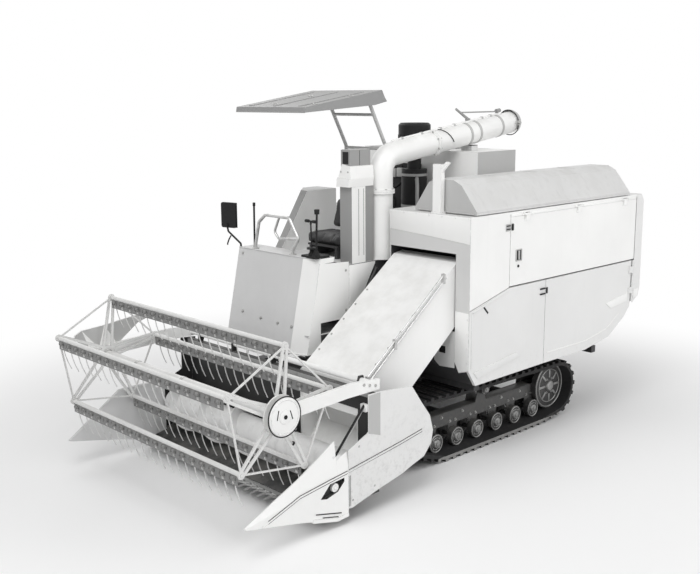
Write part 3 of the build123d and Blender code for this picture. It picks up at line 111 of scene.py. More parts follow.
def math_node(tree, operation, first, second=None, third=None, clamp=False):
    """One sum on sockets or plain numbers."""
    node = tree.nodes.new("ShaderNodeMath")
    node.operation = operation
    node.use_clamp = clamp
    for socket, value in zip(node.inputs, (first, second, third)):
        if value is None:
            continue
        if isinstance(value, (int, float)):
            socket.default_value = value
        else:
            tree.links.new(value, socket)
    return node.outputs[0]


def noise(tree, vector, scale, detail=3.0, rough=0.5):
    """Soft noise at a scale, as a socket."""
    node = tree.nodes.new("ShaderNodeTexNoise")
    node.inputs["Detail"].default_value = detail
    node.inputs["Roughness"].default_value = rough
    tree.links.new(vector, node.inputs["Vector"])
    if isinstance(scale, (int, float)):
        node.inputs["Scale"].default_value = scale
    else:
        tree.links.new(scale, node.inputs["Scale"])
    return node.outputs["Fac"]


def ramp(tree, value, low, high):
    """A smooth step from 0 at low to 1 at high."""
    node = tree.nodes.new("ShaderNodeMapRange")
    node.interpolation_type = "SMOOTHSTEP"
    tree.links.new(value, node.inputs["Value"])
    node.inputs["From Min"].default_value = low
    node.inputs["From Max"].default_value = high
    return node.outputs["Result"]


def make_edge_group():
    """Mask of the worn rims and the inner corners of a sheet or casting; where it darkens a finish, the
    corners are painted shade.
    """
    tree, source, sink = new_group("Edge wear and corner shade", [("Vector", "NodeSocketVector", (0, 0, 0)),
                                                 ("Width", "NodeSocketFloat", 0.006),
                                                 ("Breakup", "NodeSocketFloat", 60.0)],
                                   [("Rim", "NodeSocketFloat")])
    bevel = tree.nodes.new("ShaderNodeBevel")
    bevel.samples = 4
    tree.links.new(source.outputs["Width"], bevel.inputs["Radius"])
    geometry = tree.nodes.new("ShaderNodeNewGeometry")
    dot = tree.nodes.new("ShaderNodeVectorMath")
    dot.operation = "DOT_PRODUCT"
    tree.links.new(bevel.outputs["Normal"], dot.inputs[0])
    tree.links.new(geometry.outputs["Normal"], dot.inputs[1])
    turned = math_node(tree, "SUBTRACT", 1.0, dot.outputs["Value"], clamp=True)
    patches = noise(tree, source.outputs["Vector"], source.outputs["Breakup"], 4.0, 0.6)
    level = math_node(tree, "MULTIPLY", ramp(tree, turned, 0.015, 0.16), ramp(tree, patches, 0.32, 0.62))
    tree.links.new(level, sink.inputs["Rim"])
    return tree


def make_mottle_group():
    """Slow and fine variation of a painted surface, with faint upright streaks."""
    tree, source, sink = new_group("Paint mottle", [("Vector", "NodeSocketVector", (0, 0, 0)),
                                                    ("Scale", "NodeSocketFloat", 2.0)],
                                   [("Tone", "NodeSocketFloat"), ("Streak", "NodeSocketFloat"),
                                    ("Peel", "NodeSocketFloat")])
    slow = noise(tree, source.outputs["Vector"], source.outputs["Scale"], 4.0, 0.55)
    stretch = tree.nodes.new("ShaderNodeMapping")
    stretch.inputs["Scale"].default_value = (17.0, 17.0, 1.6)
    stretch.inputs["Rotation"].default_value = (0.35, 0.0, 0.0)
    tree.links.new(source.outputs["Vector"], stretch.inputs["Vector"])
    streak = noise(tree, stretch.outputs["Vector"], 1.0, 3.0, 0.6)
    peel = noise(tree, source.outputs["Vector"], 420.0, 2.0, 0.5)
    tree.links.new(slow, sink.inputs["Tone"])
    tree.links.new(streak, sink.inputs["Streak"])
    tree.links.new(peel, sink.inputs["Peel"])
    return tree


def make_dust_group():
    """Mask of the dust that settles on faces looking up, and of the splash low down."""
    tree, source, sink = new_group("Field dust", [("Vector", "NodeSocketVector", (0, 0, 0)),
                                                  ("Amount", "NodeSocketFloat", 0.25),
                                                  ("Splash height", "NodeSocketFloat", 0.9)],
                                   [("Dust", "NodeSocketFloat"), ("Splash", "NodeSocketFloat")])
    geometry = tree.nodes.new("ShaderNodeNewGeometry")
    split = tree.nodes.new("ShaderNodeSeparateXYZ")
    tree.links.new(geometry.outputs["Normal"], split.inputs[0])
    up = ramp(tree, split.outputs["Z"], 0.25, 0.95)
    clouds = ramp(tree, noise(tree, source.outputs["Vector"], 5.0, 6.0, 0.62), 0.34, 0.68)
    dust = math_node(tree, "MULTIPLY", math_node(tree, "MULTIPLY", up, clouds), source.outputs["Amount"])
    place = tree.nodes.new("ShaderNodeSeparateXYZ")
    tree.links.new(source.outputs["Vector"], place.inputs[0])
    share = math_node(tree, "DIVIDE", place.outputs["Z"], source.outputs["Splash height"])
    low = math_node(tree, "SUBTRACT", 1.0, share, clamp=True)
    spots = ramp(tree, noise(tree, source.outputs["Vector"], 26.0, 5.0, 0.7), 0.45, 0.7)
    splash = math_node(tree, "MULTIPLY", low, spots)
    tree.links.new(dust, sink.inputs["Dust"])
    tree.links.new(splash, sink.inputs["Splash"])
    return tree


GROUPS = {}


def group_node(tree, place, name, **values):
    """One of the shared groups, made once, fed with the object's coordinates."""
    makers = {"edge": make_edge_group, "mottle": make_mottle_group, "dust": make_dust_group}
    if name not in GROUPS:
        GROUPS[name] = makers[name]()
    node = tree.nodes.new("ShaderNodeGroup")
    node.node_tree = GROUPS[name]
    tree.links.new(place, node.inputs["Vector"])
    for label, value in values.items():
        node.inputs[label].default_value = value
    return node


def blank_material(name):
    """A material with its shader, and the object's own coordinates."""
    material = bpy.data.materials.new(name)
    material.use_nodes = True
    tree = material.node_tree
    shader = tree.nodes["Principled BSDF"]
    place = tree.nodes.new("ShaderNodeTexCoord")
    return material, tree, shader, place.outputs["Object"]


def mix_colour(tree, share, first, second):
    """Blend of two colours, each a socket or a plain colour."""
    node = tree.nodes.new("ShaderNodeMix")
    node.data_type = "RGBA"
    if isinstance(share, (int, float)):
        node.inputs["Factor"].default_value = share
    else:
        tree.links.new(share, node.inputs["Factor"])
    for socket, value in ((node.inputs[6], first), (node.inputs[7], second)):
        if isinstance(value, tuple):
            socket.default_value = (*value[:3], 1.0)
        else:
            tree.links.new(value, socket)
    return node.outputs[2]


def bump(tree, shader, height, strength, distance):
    """Relief of a surface, from a height."""
    node = tree.nodes.new("ShaderNodeBump")
    node.inputs["Strength"].default_value = strength
    node.inputs["Distance"].default_value = distance
    tree.links.new(height, node.inputs["Height"])
    tree.links.new(node.outputs["Normal"], shader.inputs["Normal"])


def shade(colour, factor):
    """A colour made darker or paler."""
    return tuple(min(1.0, c * factor) for c in colour)


# Finishes darker than DARK reflect less than bright ones
DARK, DARK_SHINE = 0.2, 0.22


def painted(name, colour, rough=0.42, chip_and_shade=0.35, tone=0.07, streak=0.035, splash=0.0,
            chipped=None):
    """Painted sheet: slow mottle, faint streaks, dust on top, chipped rims, and rims and inner corners
    darkened as painted shade.
    """
    material, tree, shader, place = blank_material(name)
    if max(colour) < DARK:
        shader.inputs["Specular IOR Level"].default_value = DARK_SHINE
    mottle = group_node(tree, place, "mottle", Scale=1.7)
    base = mix_colour(tree, mottle.outputs["Tone"], shade(colour, 1 - tone), shade(colour, 1 + tone))
    lines = math_node(tree, "MULTIPLY", ramp(tree, mottle.outputs["Streak"], 0.52, 0.80), streak)
    base = mix_colour(tree, lines, base, shade(colour, 0.45))
    dust = group_node(tree, place, "dust", Amount=bpy.context.scene.combine_paint.dust)
    base = mix_colour(tree, dust.outputs["Dust"], base, (0.42, 0.41, 0.38))
    if splash:
        wet = math_node(tree, "MULTIPLY", dust.outputs["Splash"], splash)
        base = mix_colour(tree, wet, base, (0.16, 0.15, 0.135))
    # Rims and inner corners take the chipped colour, by default dark grey: chipped paint on the rims, painted
    # shade in the corners and joints
    edge = group_node(tree, place, "edge", Width=0.004, Breakup=45.0)
    rim = math_node(tree, "MULTIPLY", edge.outputs["Rim"], chip_and_shade)
    base = mix_colour(tree, rim, base, chipped or (0.10, 0.10, 0.10))
    tree.links.new(base, shader.inputs["Base Color"])
    gloss = math_node(tree, "MULTIPLY_ADD", mottle.outputs["Tone"], 0.22, rough - 0.11)
    gloss = math_node(tree, "ADD", gloss, math_node(tree, "MULTIPLY", dust.outputs["Dust"], 0.4), clamp=True)
    tree.links.new(gloss, shader.inputs["Roughness"])
    shader.inputs["Coat Weight"].default_value = 0.15
    shader.inputs["Coat Roughness"].default_value = 0.25
    bump(tree, shader, mottle.outputs["Peel"], 0.10, 0.0006)
    return material


RUBBED_STEEL = (0.62, 0.61, 0.59)


def bare_metal(name, colour, rough=0.38, grime=0.35, metal=0.9, grain=(6.0, 260.0, 260.0)):
    """Rolled or turned steel with grain along its length, darker grime and rubbed rims."""
    material, tree, shader, place = blank_material(name)
    stretch = tree.nodes.new("ShaderNodeMapping")
    stretch.inputs["Scale"].default_value = grain
    tree.links.new(place, stretch.inputs["Vector"])
    lines = noise(tree, stretch.outputs["Vector"], 1.0, 3.0, 0.6)
    patches = noise(tree, place, 14.0, 5.0, 0.65)
    base = mix_colour(tree, lines, shade(colour, 0.80), shade(colour, 1.18))
    stain = math_node(tree, "MULTIPLY", ramp(tree, patches, 0.48, 0.72), grime)
    base = mix_colour(tree, stain, base, shade(colour, 0.25))
    edge = group_node(tree, place, "edge", Width=0.003, Breakup=70.0)
    base = mix_colour(tree, math_node(tree, "MULTIPLY", edge.outputs["Rim"], 0.6), base, RUBBED_STEEL)
    tree.links.new(base, shader.inputs["Base Color"])
    shader.inputs["Metallic"].default_value = metal
    gloss = math_node(tree, "MULTIPLY_ADD", patches, 0.35, rough - 0.16, clamp=True)
    tree.links.new(gloss, shader.inputs["Roughness"])
    bump(tree, shader, lines, 0.12, 0.0005)
    return material


def track_rubber():
    """Rubber belt: dull, scuffed paler on the lugs' edges, with dried mud in its hollows."""
    material, tree, shader, place = blank_material("Track rubber")
    fine = noise(tree, place, 190.0, 4.0, 0.7)
    patches = noise(tree, place, 9.0, 6.0, 0.65)
    base = mix_colour(tree, fine, (0.014, 0.014, 0.015), (0.032, 0.032, 0.033))
    mud = math_node(tree, "MULTIPLY", ramp(tree, patches, 0.50, 0.75), 0.38)
    base = mix_colour(tree, mud, base, (0.12, 0.11, 0.10))
    edge = group_node(tree, place, "edge", Width=0.008, Breakup=35.0)
    rim = math_node(tree, "MULTIPLY", edge.outputs["Rim"], 0.5)
    base = mix_colour(tree, rim, base, (0.16, 0.155, 0.15))
    tree.links.new(base, shader.inputs["Base Color"])
    dull = math_node(tree, "MULTIPLY_ADD", patches, 0.3, 0.62, clamp=True)
    tree.links.new(dull, shader.inputs["Roughness"])
    shader.inputs["Specular IOR Level"].default_value = 0.35
    bump(tree, shader, fine, 0.35, 0.0015)
    return material


def moulded(name, colour, rough=0.5, pebble=900.0, depth=0.3):
    """Moulded plastic or grip rubber with a pebbled skin and rubbed rims."""
    material, tree, shader, place = blank_material(name)
    if max(colour) < DARK:
        shader.inputs["Specular IOR Level"].default_value = DARK_SHINE
    cells = tree.nodes.new("ShaderNodeTexVoronoi")
    cells.inputs["Scale"].default_value = pebble
    tree.links.new(place, cells.inputs["Vector"])
    patches = noise(tree, place, 11.0, 4.0, 0.6)
    base = mix_colour(tree, patches, shade(colour, 0.8), shade(colour, 1.25))
    edge = group_node(tree, place, "edge", Width=0.003, Breakup=50.0)
    base = mix_colour(tree, math_node(tree, "MULTIPLY", edge.outputs["Rim"], 0.45), base, shade(colour, 4.0))
    tree.links.new(base, shader.inputs["Base Color"])
    tree.links.new(math_node(tree, "MULTIPLY_ADD", patches, 0.25, rough - 0.12, clamp=True),
                   shader.inputs["Roughness"])
    bump(tree, shader, cells.outputs["Distance"], depth, 0.0006)
    return material


def seat_vinyl():
    """Black vinyl: fine leather-like grain, creases worn smoother and a little paler."""
    material, tree, shader, place = blank_material("Seat vinyl")
    cells = tree.nodes.new("ShaderNodeTexVoronoi")
    cells.feature = "DISTANCE_TO_EDGE"
    cells.inputs["Scale"].default_value = 420.0
    tree.links.new(place, cells.inputs["Vector"])
    folds = noise(tree, place, 16.0, 5.0, 0.6)
    wear = ramp(tree, noise(tree, place, 6.0, 5.0, 0.6), 0.45, 0.75)
    base = mix_colour(tree, folds, (0.012, 0.012, 0.013), (0.026, 0.026, 0.027))
    base = mix_colour(tree, math_node(tree, "MULTIPLY", wear, 0.4), base, (0.075, 0.073, 0.07))
    tree.links.new(base, shader.inputs["Base Color"])
    tree.links.new(math_node(tree, "MULTIPLY_ADD", wear, -0.16, 0.52, clamp=True), shader.inputs["Roughness"])
    grain = math_node(tree, "MULTIPLY_ADD", folds, 0.8, cells.outputs["Distance"])
    bump(tree, shader, grain, 0.35, 0.0012)
    return material


def screen_mesh():
    """Perforated intake screen: painted sheet with rows of dark round holes."""
    material, tree, shader, place = blank_material("Intake screen")
    grid = tree.nodes.new("ShaderNodeVectorMath")
    grid.operation = "MODULO"
    shift = tree.nodes.new("ShaderNodeVectorMath")
    shift.operation = "ADD"
    shift.inputs[1].default_value = (10.0, 10.0, 10.0)
    tree.links.new(place, shift.inputs[0])
    tree.links.new(shift.outputs[0], grid.inputs[0])
    grid.inputs[1].default_value = (1.0, 0.012, 0.012)
    middle = tree.nodes.new("ShaderNodeVectorMath")
    middle.operation = "SUBTRACT"
    middle.inputs[1].default_value = (0.0, 0.006, 0.006)
    tree.links.new(grid.outputs[0], middle.inputs[0])
    flat = tree.nodes.new("ShaderNodeVectorMath")
    flat.operation = "MULTIPLY"
    flat.inputs[1].default_value = (0.0, 1.0, 1.0)
    tree.links.new(middle.outputs[0], flat.inputs[0])
    length = tree.nodes.new("ShaderNodeVectorMath")
    length.operation = "LENGTH"
    tree.links.new(flat.outputs[0], length.inputs[0])
    hole = ramp(tree, length.outputs["Value"], 0.0044, 0.0036)
    patches = noise(tree, place, 7.0, 5.0, 0.6)
    base = mix_colour(tree, patches, (0.10, 0.10, 0.10), (0.17, 0.17, 0.165))
    base = mix_colour(tree, hole, base, (0.008, 0.008, 0.008))
    tree.links.new(base, shader.inputs["Base Color"])
    shader.inputs["Roughness"].default_value = 0.55
    bump(tree, shader, math_node(tree, "SUBTRACT", 1.0, hole), 0.6, 0.001)
    return material


def tread_plate():
    """Step and floor plate with raised lozenges, bright where boots rub."""
    material, tree, shader, place = blank_material("Tread plate")
    turn = tree.nodes.new("ShaderNodeMapping")
    turn.inputs["Rotation"].default_value = (0, 0, math.radians(45))
    turn.inputs["Scale"].default_value = (30.0, 70.0, 1.0)
    tree.links.new(place, turn.inputs["Vector"])
    cells = tree.nodes.new("ShaderNodeTexVoronoi")
    cells.inputs["Scale"].default_value = 1.0
    cells.inputs["Randomness"].default_value = 0.0
    tree.links.new(turn.outputs["Vector"], cells.inputs["Vector"])
    raised = ramp(tree, cells.outputs["Distance"], 0.42, 0.25)
    rub = math_node(tree, "MULTIPLY", raised, ramp(tree, noise(tree, place, 9.0, 4.0, 0.6), 0.4, 0.7))
    base = mix_colour(tree, rub, (0.085, 0.085, 0.087), (0.32, 0.32, 0.31))
    tree.links.new(base, shader.inputs["Base Color"])
    shader.inputs["Metallic"].default_value = 0.3
    tree.links.new(math_node(tree, "MULTIPLY_ADD", rub, -0.2, 0.6), shader.inputs["Roughness"])
    bump(tree, shader, raised, 0.7, 0.002)
    return material


def mirror_glass():
    """Silvered mirror with a faint film of dust."""
    material, tree, shader, place = blank_material("Mirror glass")
    film = ramp(tree, noise(tree, place, 18.0, 5.0, 0.6), 0.45, 0.8)
    base = mix_colour(tree, film, (0.86, 0.87, 0.88), (0.66, 0.66, 0.64))
    tree.links.new(base, shader.inputs["Base Color"])
    shader.inputs["Metallic"].default_value = 1.0
    tree.links.new(math_node(tree, "MULTIPLY_ADD", film, 0.16, 0.03), shader.inputs["Roughness"])
    return material


FINISHES = {}


def finish(name):
    """The finish of that name, made once."""
    paint = bpy.context.scene.combine_paint
    makers = {
        "body": lambda: painted("Body paint", tuple(paint.body), rough=0.36, chip_and_shade=0.5),
        "lower": lambda: painted("Lower panel paint", tuple(paint.lower), rough=0.42, chip_and_shade=0.5, splash=0.25),
        "cab": lambda: painted("Platform paint", tuple(paint.cab), rough=0.40, chip_and_shade=0.5, tone=0.14),
        "roof": lambda: painted("Roof paint", tuple(paint.roof), rough=0.5, chip_and_shade=0.4),
        # This grey is also painted shade: on the tank's left side, the drum cover's front end, the far reel
        # arm's sides and the straw hood's underside
        "grey": lambda: painted("Grey paint and painted shade", (0.50, 0.50, 0.495), rough=0.45, chip_and_shade=0.45),
        # This grey is partly painted shade: on the thresher's front panel and the lower side panels' front
        # faces
        "pale": lambda: painted("Front sheet paint and painted shade", (0.66, 0.66, 0.655), rough=0.42, chip_and_shade=0.4),
        # This dark grey is also painted shade: in the console's recess, on the upper box's sides and on the
        # radiator box's leaning front
        "shadow": lambda: painted("Dark grey paint and painted shade", (0.32, 0.32, 0.317), rough=0.45, chip_and_shade=0.4),
        "hatch": lambda: painted("Drum cover paint", (0.66, 0.66, 0.655), rough=0.40, chip_and_shade=0.45, streak=0.16),
        "reel": lambda: painted("Reel paint", (0.74, 0.74, 0.73), rough=0.45, chip_and_shade=0.8, streak=0.2),
        "board": lambda: painted("Bat board paint", (0.21, 0.21, 0.208), rough=0.5, chip_and_shade=0.8, streak=0.4),
        "auger": lambda: painted("Auger paint", (0.80, 0.80, 0.795), rough=0.40, chip_and_shade=0.9, streak=0.3,
                                 chipped=(0.62, 0.61, 0.60)),
        # This near-black is partly painted shade: inside the header and in the dividers' pockets
        "table": lambda: painted("Table paint and painted shade", (0.030, 0.030, 0.030), rough=0.45, chip_and_shade=0.5,
                                 chipped=(0.4, 0.4, 0.39)),
        "chassis": lambda: painted("Chassis paint", tuple(paint.chassis), rough=0.5, chip_and_shade=0.4, splash=0.5,
                                   chipped=(0.25, 0.24, 0.23)),
        "beam": lambda: painted("Track frame paint", (0.095, 0.095, 0.094), rough=0.5, chip_and_shade=0.7, splash=0.5,
                                chipped=(0.3, 0.29, 0.28)),
        "wheels": lambda: painted("Roller paint", (0.055, 0.055, 0.055), rough=0.5, chip_and_shade=0.9, splash=0.4,
                                  chipped=(0.62, 0.61, 0.6)),
        "iron": lambda: bare_metal("Cast iron", (0.16, 0.16, 0.162), rough=0.55, metal=0.5),
        "steel": lambda: bare_metal("Bright steel", (0.58, 0.58, 0.575), rough=0.34),
        "springs": lambda: bare_metal("Spring wire", (0.75, 0.75, 0.745), rough=0.42, metal=0.35),
        "chrome": lambda: bare_metal("Ram rod chrome", (0.74, 0.74, 0.75), rough=0.2, grime=0.1),
        "zinc": lambda: bare_metal("Zinc fasteners", (0.50, 0.50, 0.49), rough=0.36, grain=(60, 60, 60)),
        "rubber": track_rubber,
        "scuffed": lambda: moulded("Scuffed rubber", (0.24, 0.237, 0.23), rough=0.8, pebble=160.0,
                                   depth=0.5),
        "hub": lambda: bare_metal("Worn iron", (0.36, 0.36, 0.355), rough=0.45, metal=0.6,
                                  grain=(40, 40, 40)),
        "plastic": lambda: moulded("Moulded black", (0.013, 0.013, 0.0135)),
        "grip": lambda: moulded("Grip rubber", (0.018, 0.018, 0.018), rough=0.65, pebble=500.0, depth=0.5),
        "lamp": lambda: moulded("Console plastic", (0.50, 0.50, 0.49), rough=0.45, pebble=1200.0, depth=0.15),
        "vinyl": seat_vinyl,
        "screen": screen_mesh,
        "tread": tread_plate,
        "mirror": mirror_glass,
    }
    if name not in FINISHES:
        FINISHES[name] = makers[name]()
    return FINISHES[name]


# Places on the machine: the bats' angles in degrees, the air cleaner as (x, y), other pairs as (y, z)
BATS = (82.0, 154.0, 226.0, 298.0, 10.0)
REEL, REEL_RADIUS = (-1.939, 0.889), 0.445
BAT_NAMES = [f"reel_bat_{number}" for number in range(1, len(BATS) + 1)]
BAT_TUBE, BOARD_BACK, BOARD_HALF = 0.0175, 0.009, 0.0035
TABLE_AUGER = (-1.306, 0.348)
SPROCKET, IDLER, CARRIER = (-0.330, 0.330), (1.470, 0.285), (0.560, 0.4424)
ROLLER_YS = [-0.060 + i * 0.259 for i in range(6)]
ROLLER_Z = 0.125
PIPE_X, PIPE_Y, TUBE_Z = 0.105, -0.050, 2.385
TUBE_SLOPE = math.radians(8.0)
AIR_CLEANER = (-0.165, 0.640)
CANOPY_RISE, CANOPY_RUN = 0.132, 0.86

# Faces that pieces lie on, as X: sides of the thresher, header and tank, then wheels and track frames
SIDE = 1.080
ON_SIDE = SIDE + 0.0003
HEADER_SIDE = 1.1301
TANK_SIDE = -1.0003
WHEEL_FACE, FRAME_FACE = 0.740, 0.6853
# The bolts of the drive sprockets start here, 5 mm off the sprockets' own face
SPROCKET_BOLTS = 0.690
# The same as Y: the thresher's front and the dark sheet before the tank, painted shade of the engine bay
FRONT_FACE, SHADE_SHEET_FACE = -0.0932, 0.8605

NODE_FINISH = {
    "chassis_frame": "chassis", "frame_legs": "chassis", "gearbox": "iron",
    "drive_sprockets": "iron", "road_rollers": "wheels",
    # The thresher body's near-black finish is painted shade in its throat and openings; the front panel's
    # grey is partly painted shade
    "track_frames": "beam", "tracks": "rubber", "thresher_body": "chassis", "front_panel": "pale",
    "side_panels": "body", "upper_door": "body", "lower_door": "lower", "drum_cover": "hatch",
    "cradle_post": "body", "straw_hood": "lower", "grain_tank": "body", "tank_lid": "grey",
    "engine_block": "iron", "engine_cover": "lower", "radiator_box": "cab", "air_cleaner": "plastic",
    "platform": "cab", "step": "tread", "handrail": "steel", "console": "plastic", "mirror": "plastic",
    "seat_frame": "chassis", "seat_cushion": "vinyl", "seat_back": "vinyl", "canopy_frame": "grey",
    "canopy_roof": "roof", "side_console": "body", "unloader_pipe": "body", "unloader_tube": "body",
    "spout": "grey", "spout_linkage": "shadow", "tube_rest": "cab", "feeder_house": "body",
    # The header frame's near-black finish is partly painted shade inside the header
    "feeder_rods": "steel", "header_frame": "table", "dividers": "body", "cutter_bar": "steel",
    "table_auger": "auger", "reel_arms": "body", "reel_frame": "reel", "ram_barrel": "chassis",
    "ram_rod": "chrome", "ram_bracket": "chassis",
}
NODE_FINISH.update({name: "springs" for name in BAT_NAMES})


def bat_place(number):
    """Where a bat's tube is, as (y, z)."""
    angle = math.radians(BATS[number - 1])
    return REEL[0] + REEL_RADIUS * math.cos(angle), REEL[1] + REEL_RADIUS * math.sin(angle)


def dash_y(z):
    """Where the platform's leaning front face is at height z."""
    return -0.955 + 0.155 * (z - 0.9) / 0.74


def canopy_z(y):
    """Height of the roof's top face at y."""
    return 2.786 + CANOPY_RISE * (y + 0.79) / CANOPY_RUN


# Faces of a frame piece that take another finish: piece, finish, test of a face's middle and normal
FACE_FINISH = [
    ("header_frame", "lower", lambda c, n: abs(c.x) > 1.1242),
    ("header_frame", "grey", lambda c, n: abs(c.x) > 1.1325 and c.y < -1.09 and c.z > 0.55),
    # The tank's left side is painted darker grey than its front: painted shade
    ("grain_tank", "grey", lambda c, n: n.x > 0.9 and c.x > 0.355),
    # The upper box's sides are darker than its top: painted shade
    ("side_console", "shadow", lambda c, n: c.z > 2.331 and n.z < 0.5),
    # Below 2.165 m the console's rear recess is darkened as painted shade, and its front faces are dark grey
    ("side_console", "shadow", lambda c, n: c.z < 2.165 and (c.y > -0.271 or n.y < -0.9)),
    # The radiator box's left-facing faces are painted white and its leaning front faces dark grey: painted
    # light on the lit side, painted shade on the front
    ("radiator_box", "body", lambda c, n: n.x > 0.5),
    ("radiator_box", "shadow", lambda c, n: n.y < -0.3),
    # The drum cover's front end is painted darker grey than its top: painted shade
    ("drum_cover", "grey", lambda c, n: n.y < -0.9),
    # The far reel arm's flat sides are painted darker grey than the near arm's: painted shade
    ("reel_arms", "grey", lambda c, n: c.x < -1.0 and c.z > 1.0 and abs(n.x) > 0.9),
    # The engine cover's low, left-facing, outer and front faces are painted near-black: painted shade in the
    # bay under the platform
    ("engine_cover", "chassis", lambda c, n: c.z < 1.043 or n.x > 0.5 or c.x > 0.1505 or n.y < -0.9),
    # The platform's left-facing faces are painted white, lighter than its grey front: painted light on the
    # lit side
    ("platform", "body", lambda c, n: n.x > 0.2),
    ("side_panels", "lower", lambda c, n: c.z < 1.386),
    # The lower side panels' front faces are painted grey: painted shade
    ("side_panels", "pale", lambda c, n: c.z < 1.386 and n.y < -0.9),
    ("table_auger", "lower", lambda c, n: abs(c.x) > 1.1335),
    ("handrail", "grip", lambda c, n: c.z > 1.67 and math.hypot(c.x + 0.650, c.y + 0.762) < 0.0095),
    ("thresher_body", "lower", lambda c, n: (n.z > 0.9 and c.z > 1.975) or (n.x < -0.9 and c.x < 0.251)),
    # The far divider is painted grey, darker than the near one: painted shade
    ("dividers", "cab", lambda c, n: c.x < 0),
    # The pocket in the dividers' outer face, round its disc, is painted near-black: painted shade in the
    # recess
    ("dividers", "table", lambda c, n: 1.1035 < abs(c.x) < 1.1295 and -1.66 < c.y < -1.438
     and 0.235 < c.z < 0.347
     and not (abs(c.x) > 1.1045 and (c.y + 1.516) ** 2 + (c.z - 0.292) ** 2 < 0.0315 ** 2)),
    ("tracks", "scuffed", lambda c, n: abs(n.x) > 0.9 and c.z < 0.05),
    ("platform", "tread", lambda c, n: n.z > 0.9 and 1.04 < c.z < 1.06),
    ("radiator_box", "screen", lambda c, n: n.x < -0.9 and c.x < -0.94),
    # The straw hood's underside is painted darker grey: painted shade
    ("straw_hood", "grey", lambda c, n: n.z < -0.5),
]


# Mesh helpers

SMOOTH_BELOW = math.radians(35.0)


def new_piece(name, mesh, material, body):
    """A finished piece from a bmesh: outward faces, smooth where they meet softly, riding on a body."""
    bmesh.ops.recalc_face_normals(mesh, faces=mesh.faces)
    for face in mesh.faces:
        face.smooth = True
    for edge in mesh.edges:
        if len(edge.link_faces) != 2 or edge.calc_face_angle(0.0) > SMOOTH_BELOW:
            edge.smooth = False
    data = bpy.data.meshes.new(name)
    mesh.to_mesh(data)
    mesh.free()
    obj = bpy.data.objects.new(name, data)
    bpy.context.scene.collection.objects.link(obj)
    data.materials.append(finish(material))
    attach(obj, body)


def round_edges(mesh, edges, width, segments=2):
    """Bevel some edges of a mesh."""
    bmesh.ops.bevel(mesh, geom=list(edges), offset=width, segments=segments, profile=0.5, affect="EDGES",
                    material=-1)


def facing(axis):
    """Turn that lays local Z along an axis."""
    return Vector((0, 0, 1)).rotation_difference(Vector(axis)).to_matrix().to_4x4()


def add_drum(mesh, centre, axis, radius, depth, sides=24, end_radius=None, bevel=0.0):
    """A cylinder or cone centred on a point, along an axis, with a bevelled rim."""
    made = bmesh.ops.create_cone(mesh, cap_ends=True, segments=sides, radius1=radius,
                                 radius2=radius if end_radius is None else end_radius, depth=depth,
                                 matrix=Matrix.Translation(centre) @ facing(axis))
    if bevel:
        rims = {e for v in made["verts"] for e in v.link_edges if any(len(f.verts) > 4 for f in e.link_faces)}
        round_edges(mesh, rims, bevel)


def add_block(mesh, low, high, bevel=0.0, turn=None):
    """A box between two corners, bevelled, and turned about its middle if asked."""
    low, high = Vector(low), Vector(high)
    size, middle = high - low, (low + high) / 2
    place = Matrix.Translation(middle) @ (turn or Matrix()) @ Matrix.Diagonal((*size, 1))
    made = bmesh.ops.create_cube(mesh, size=1.0, matrix=place)
    if bevel:
        round_edges(mesh, {e for v in made["verts"] for e in v.link_edges}, bevel)


def add_bolt(mesh, place, axis, size):
    """A washer and a chamfered hexagon head standing on a face."""
    axis = Vector(axis).normalized()
    place = Vector(place)
    add_drum(mesh, place + axis * size * 0.06, axis, size * 0.78, size * 0.12, 12)
    add_drum(mesh, place + axis * size * 0.36, axis, size * 0.58, size * 0.5, 6, end_radius=size * 0.50)


def add_ring(mesh, centre, axis, major, minor, turns=24, sides=8):
    """A round ring: a small circle spun once about the axis."""
    local = Matrix.Translation((major, 0, 0)) @ Matrix.Rotation(math.radians(90), 4, "X")
    place = Matrix.Translation(centre) @ facing(axis) @ local
    made = bmesh.ops.create_circle(mesh, segments=sides, radius=minor, matrix=place)
    edges = list({e for v in made["verts"] for e in v.link_edges})
    bmesh.ops.spin(mesh, geom=made["verts"] + edges, cent=centre, axis=Vector(axis), dvec=(0, 0, 0),
                   angle=math.tau, steps=turns, use_merge=True, use_duplicate=False)


def add_band(mesh, centre, axis, radius, width, thick, sides=32):
    """A flat clamp band round a tube."""
    turn = facing(axis)
    rings = []
    for r, shift in ((radius, -0.5), (radius + thick, -0.5), (radius + thick, 0.5), (radius, 0.5)):
        place = Matrix.Translation(centre) @ turn @ Matrix.Translation((0, 0, width * shift))
        made = bmesh.ops.create_circle(mesh, segments=sides, radius=r, matrix=place)
        rings.append(list({e for v in made["verts"] for e in v.link_edges}))
    for i in range(4):
        bmesh.ops.bridge_loops(mesh, edges=rings[i] + rings[(i + 1) % 4])


def swept(name, points, radius, material, body):
    """A round bar along a smooth path, made a mesh."""
    curve = bpy.data.curves.new(name, "CURVE")
    curve.dimensions = "3D"
    curve.bevel_depth = radius
    curve.bevel_resolution = 2
    curve.use_fill_caps = True
    line = curve.splines.new("POLY")
    line.points.add(len(points) - 1)
    for point, place in zip(line.points, points):
        point.co = (*place, 1.0)
    holder = bpy.data.objects.new(name + "_path", curve)
    bpy.context.scene.collection.objects.link(holder)
    bpy.context.view_layer.update()
    data = bpy.data.meshes.new_from_object(holder.evaluated_get(bpy.context.evaluated_depsgraph_get()))
    bpy.data.objects.remove(holder)
    bpy.data.curves.remove(curve)
    obj = bpy.data.objects.new(name, data)
    data.name = name
    bpy.context.scene.collection.objects.link(obj)
    data.materials.clear()
    data.materials.append(finish(material))
    for polygon in data.polygons:
        polygon.use_smooth = True
    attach(obj, body)


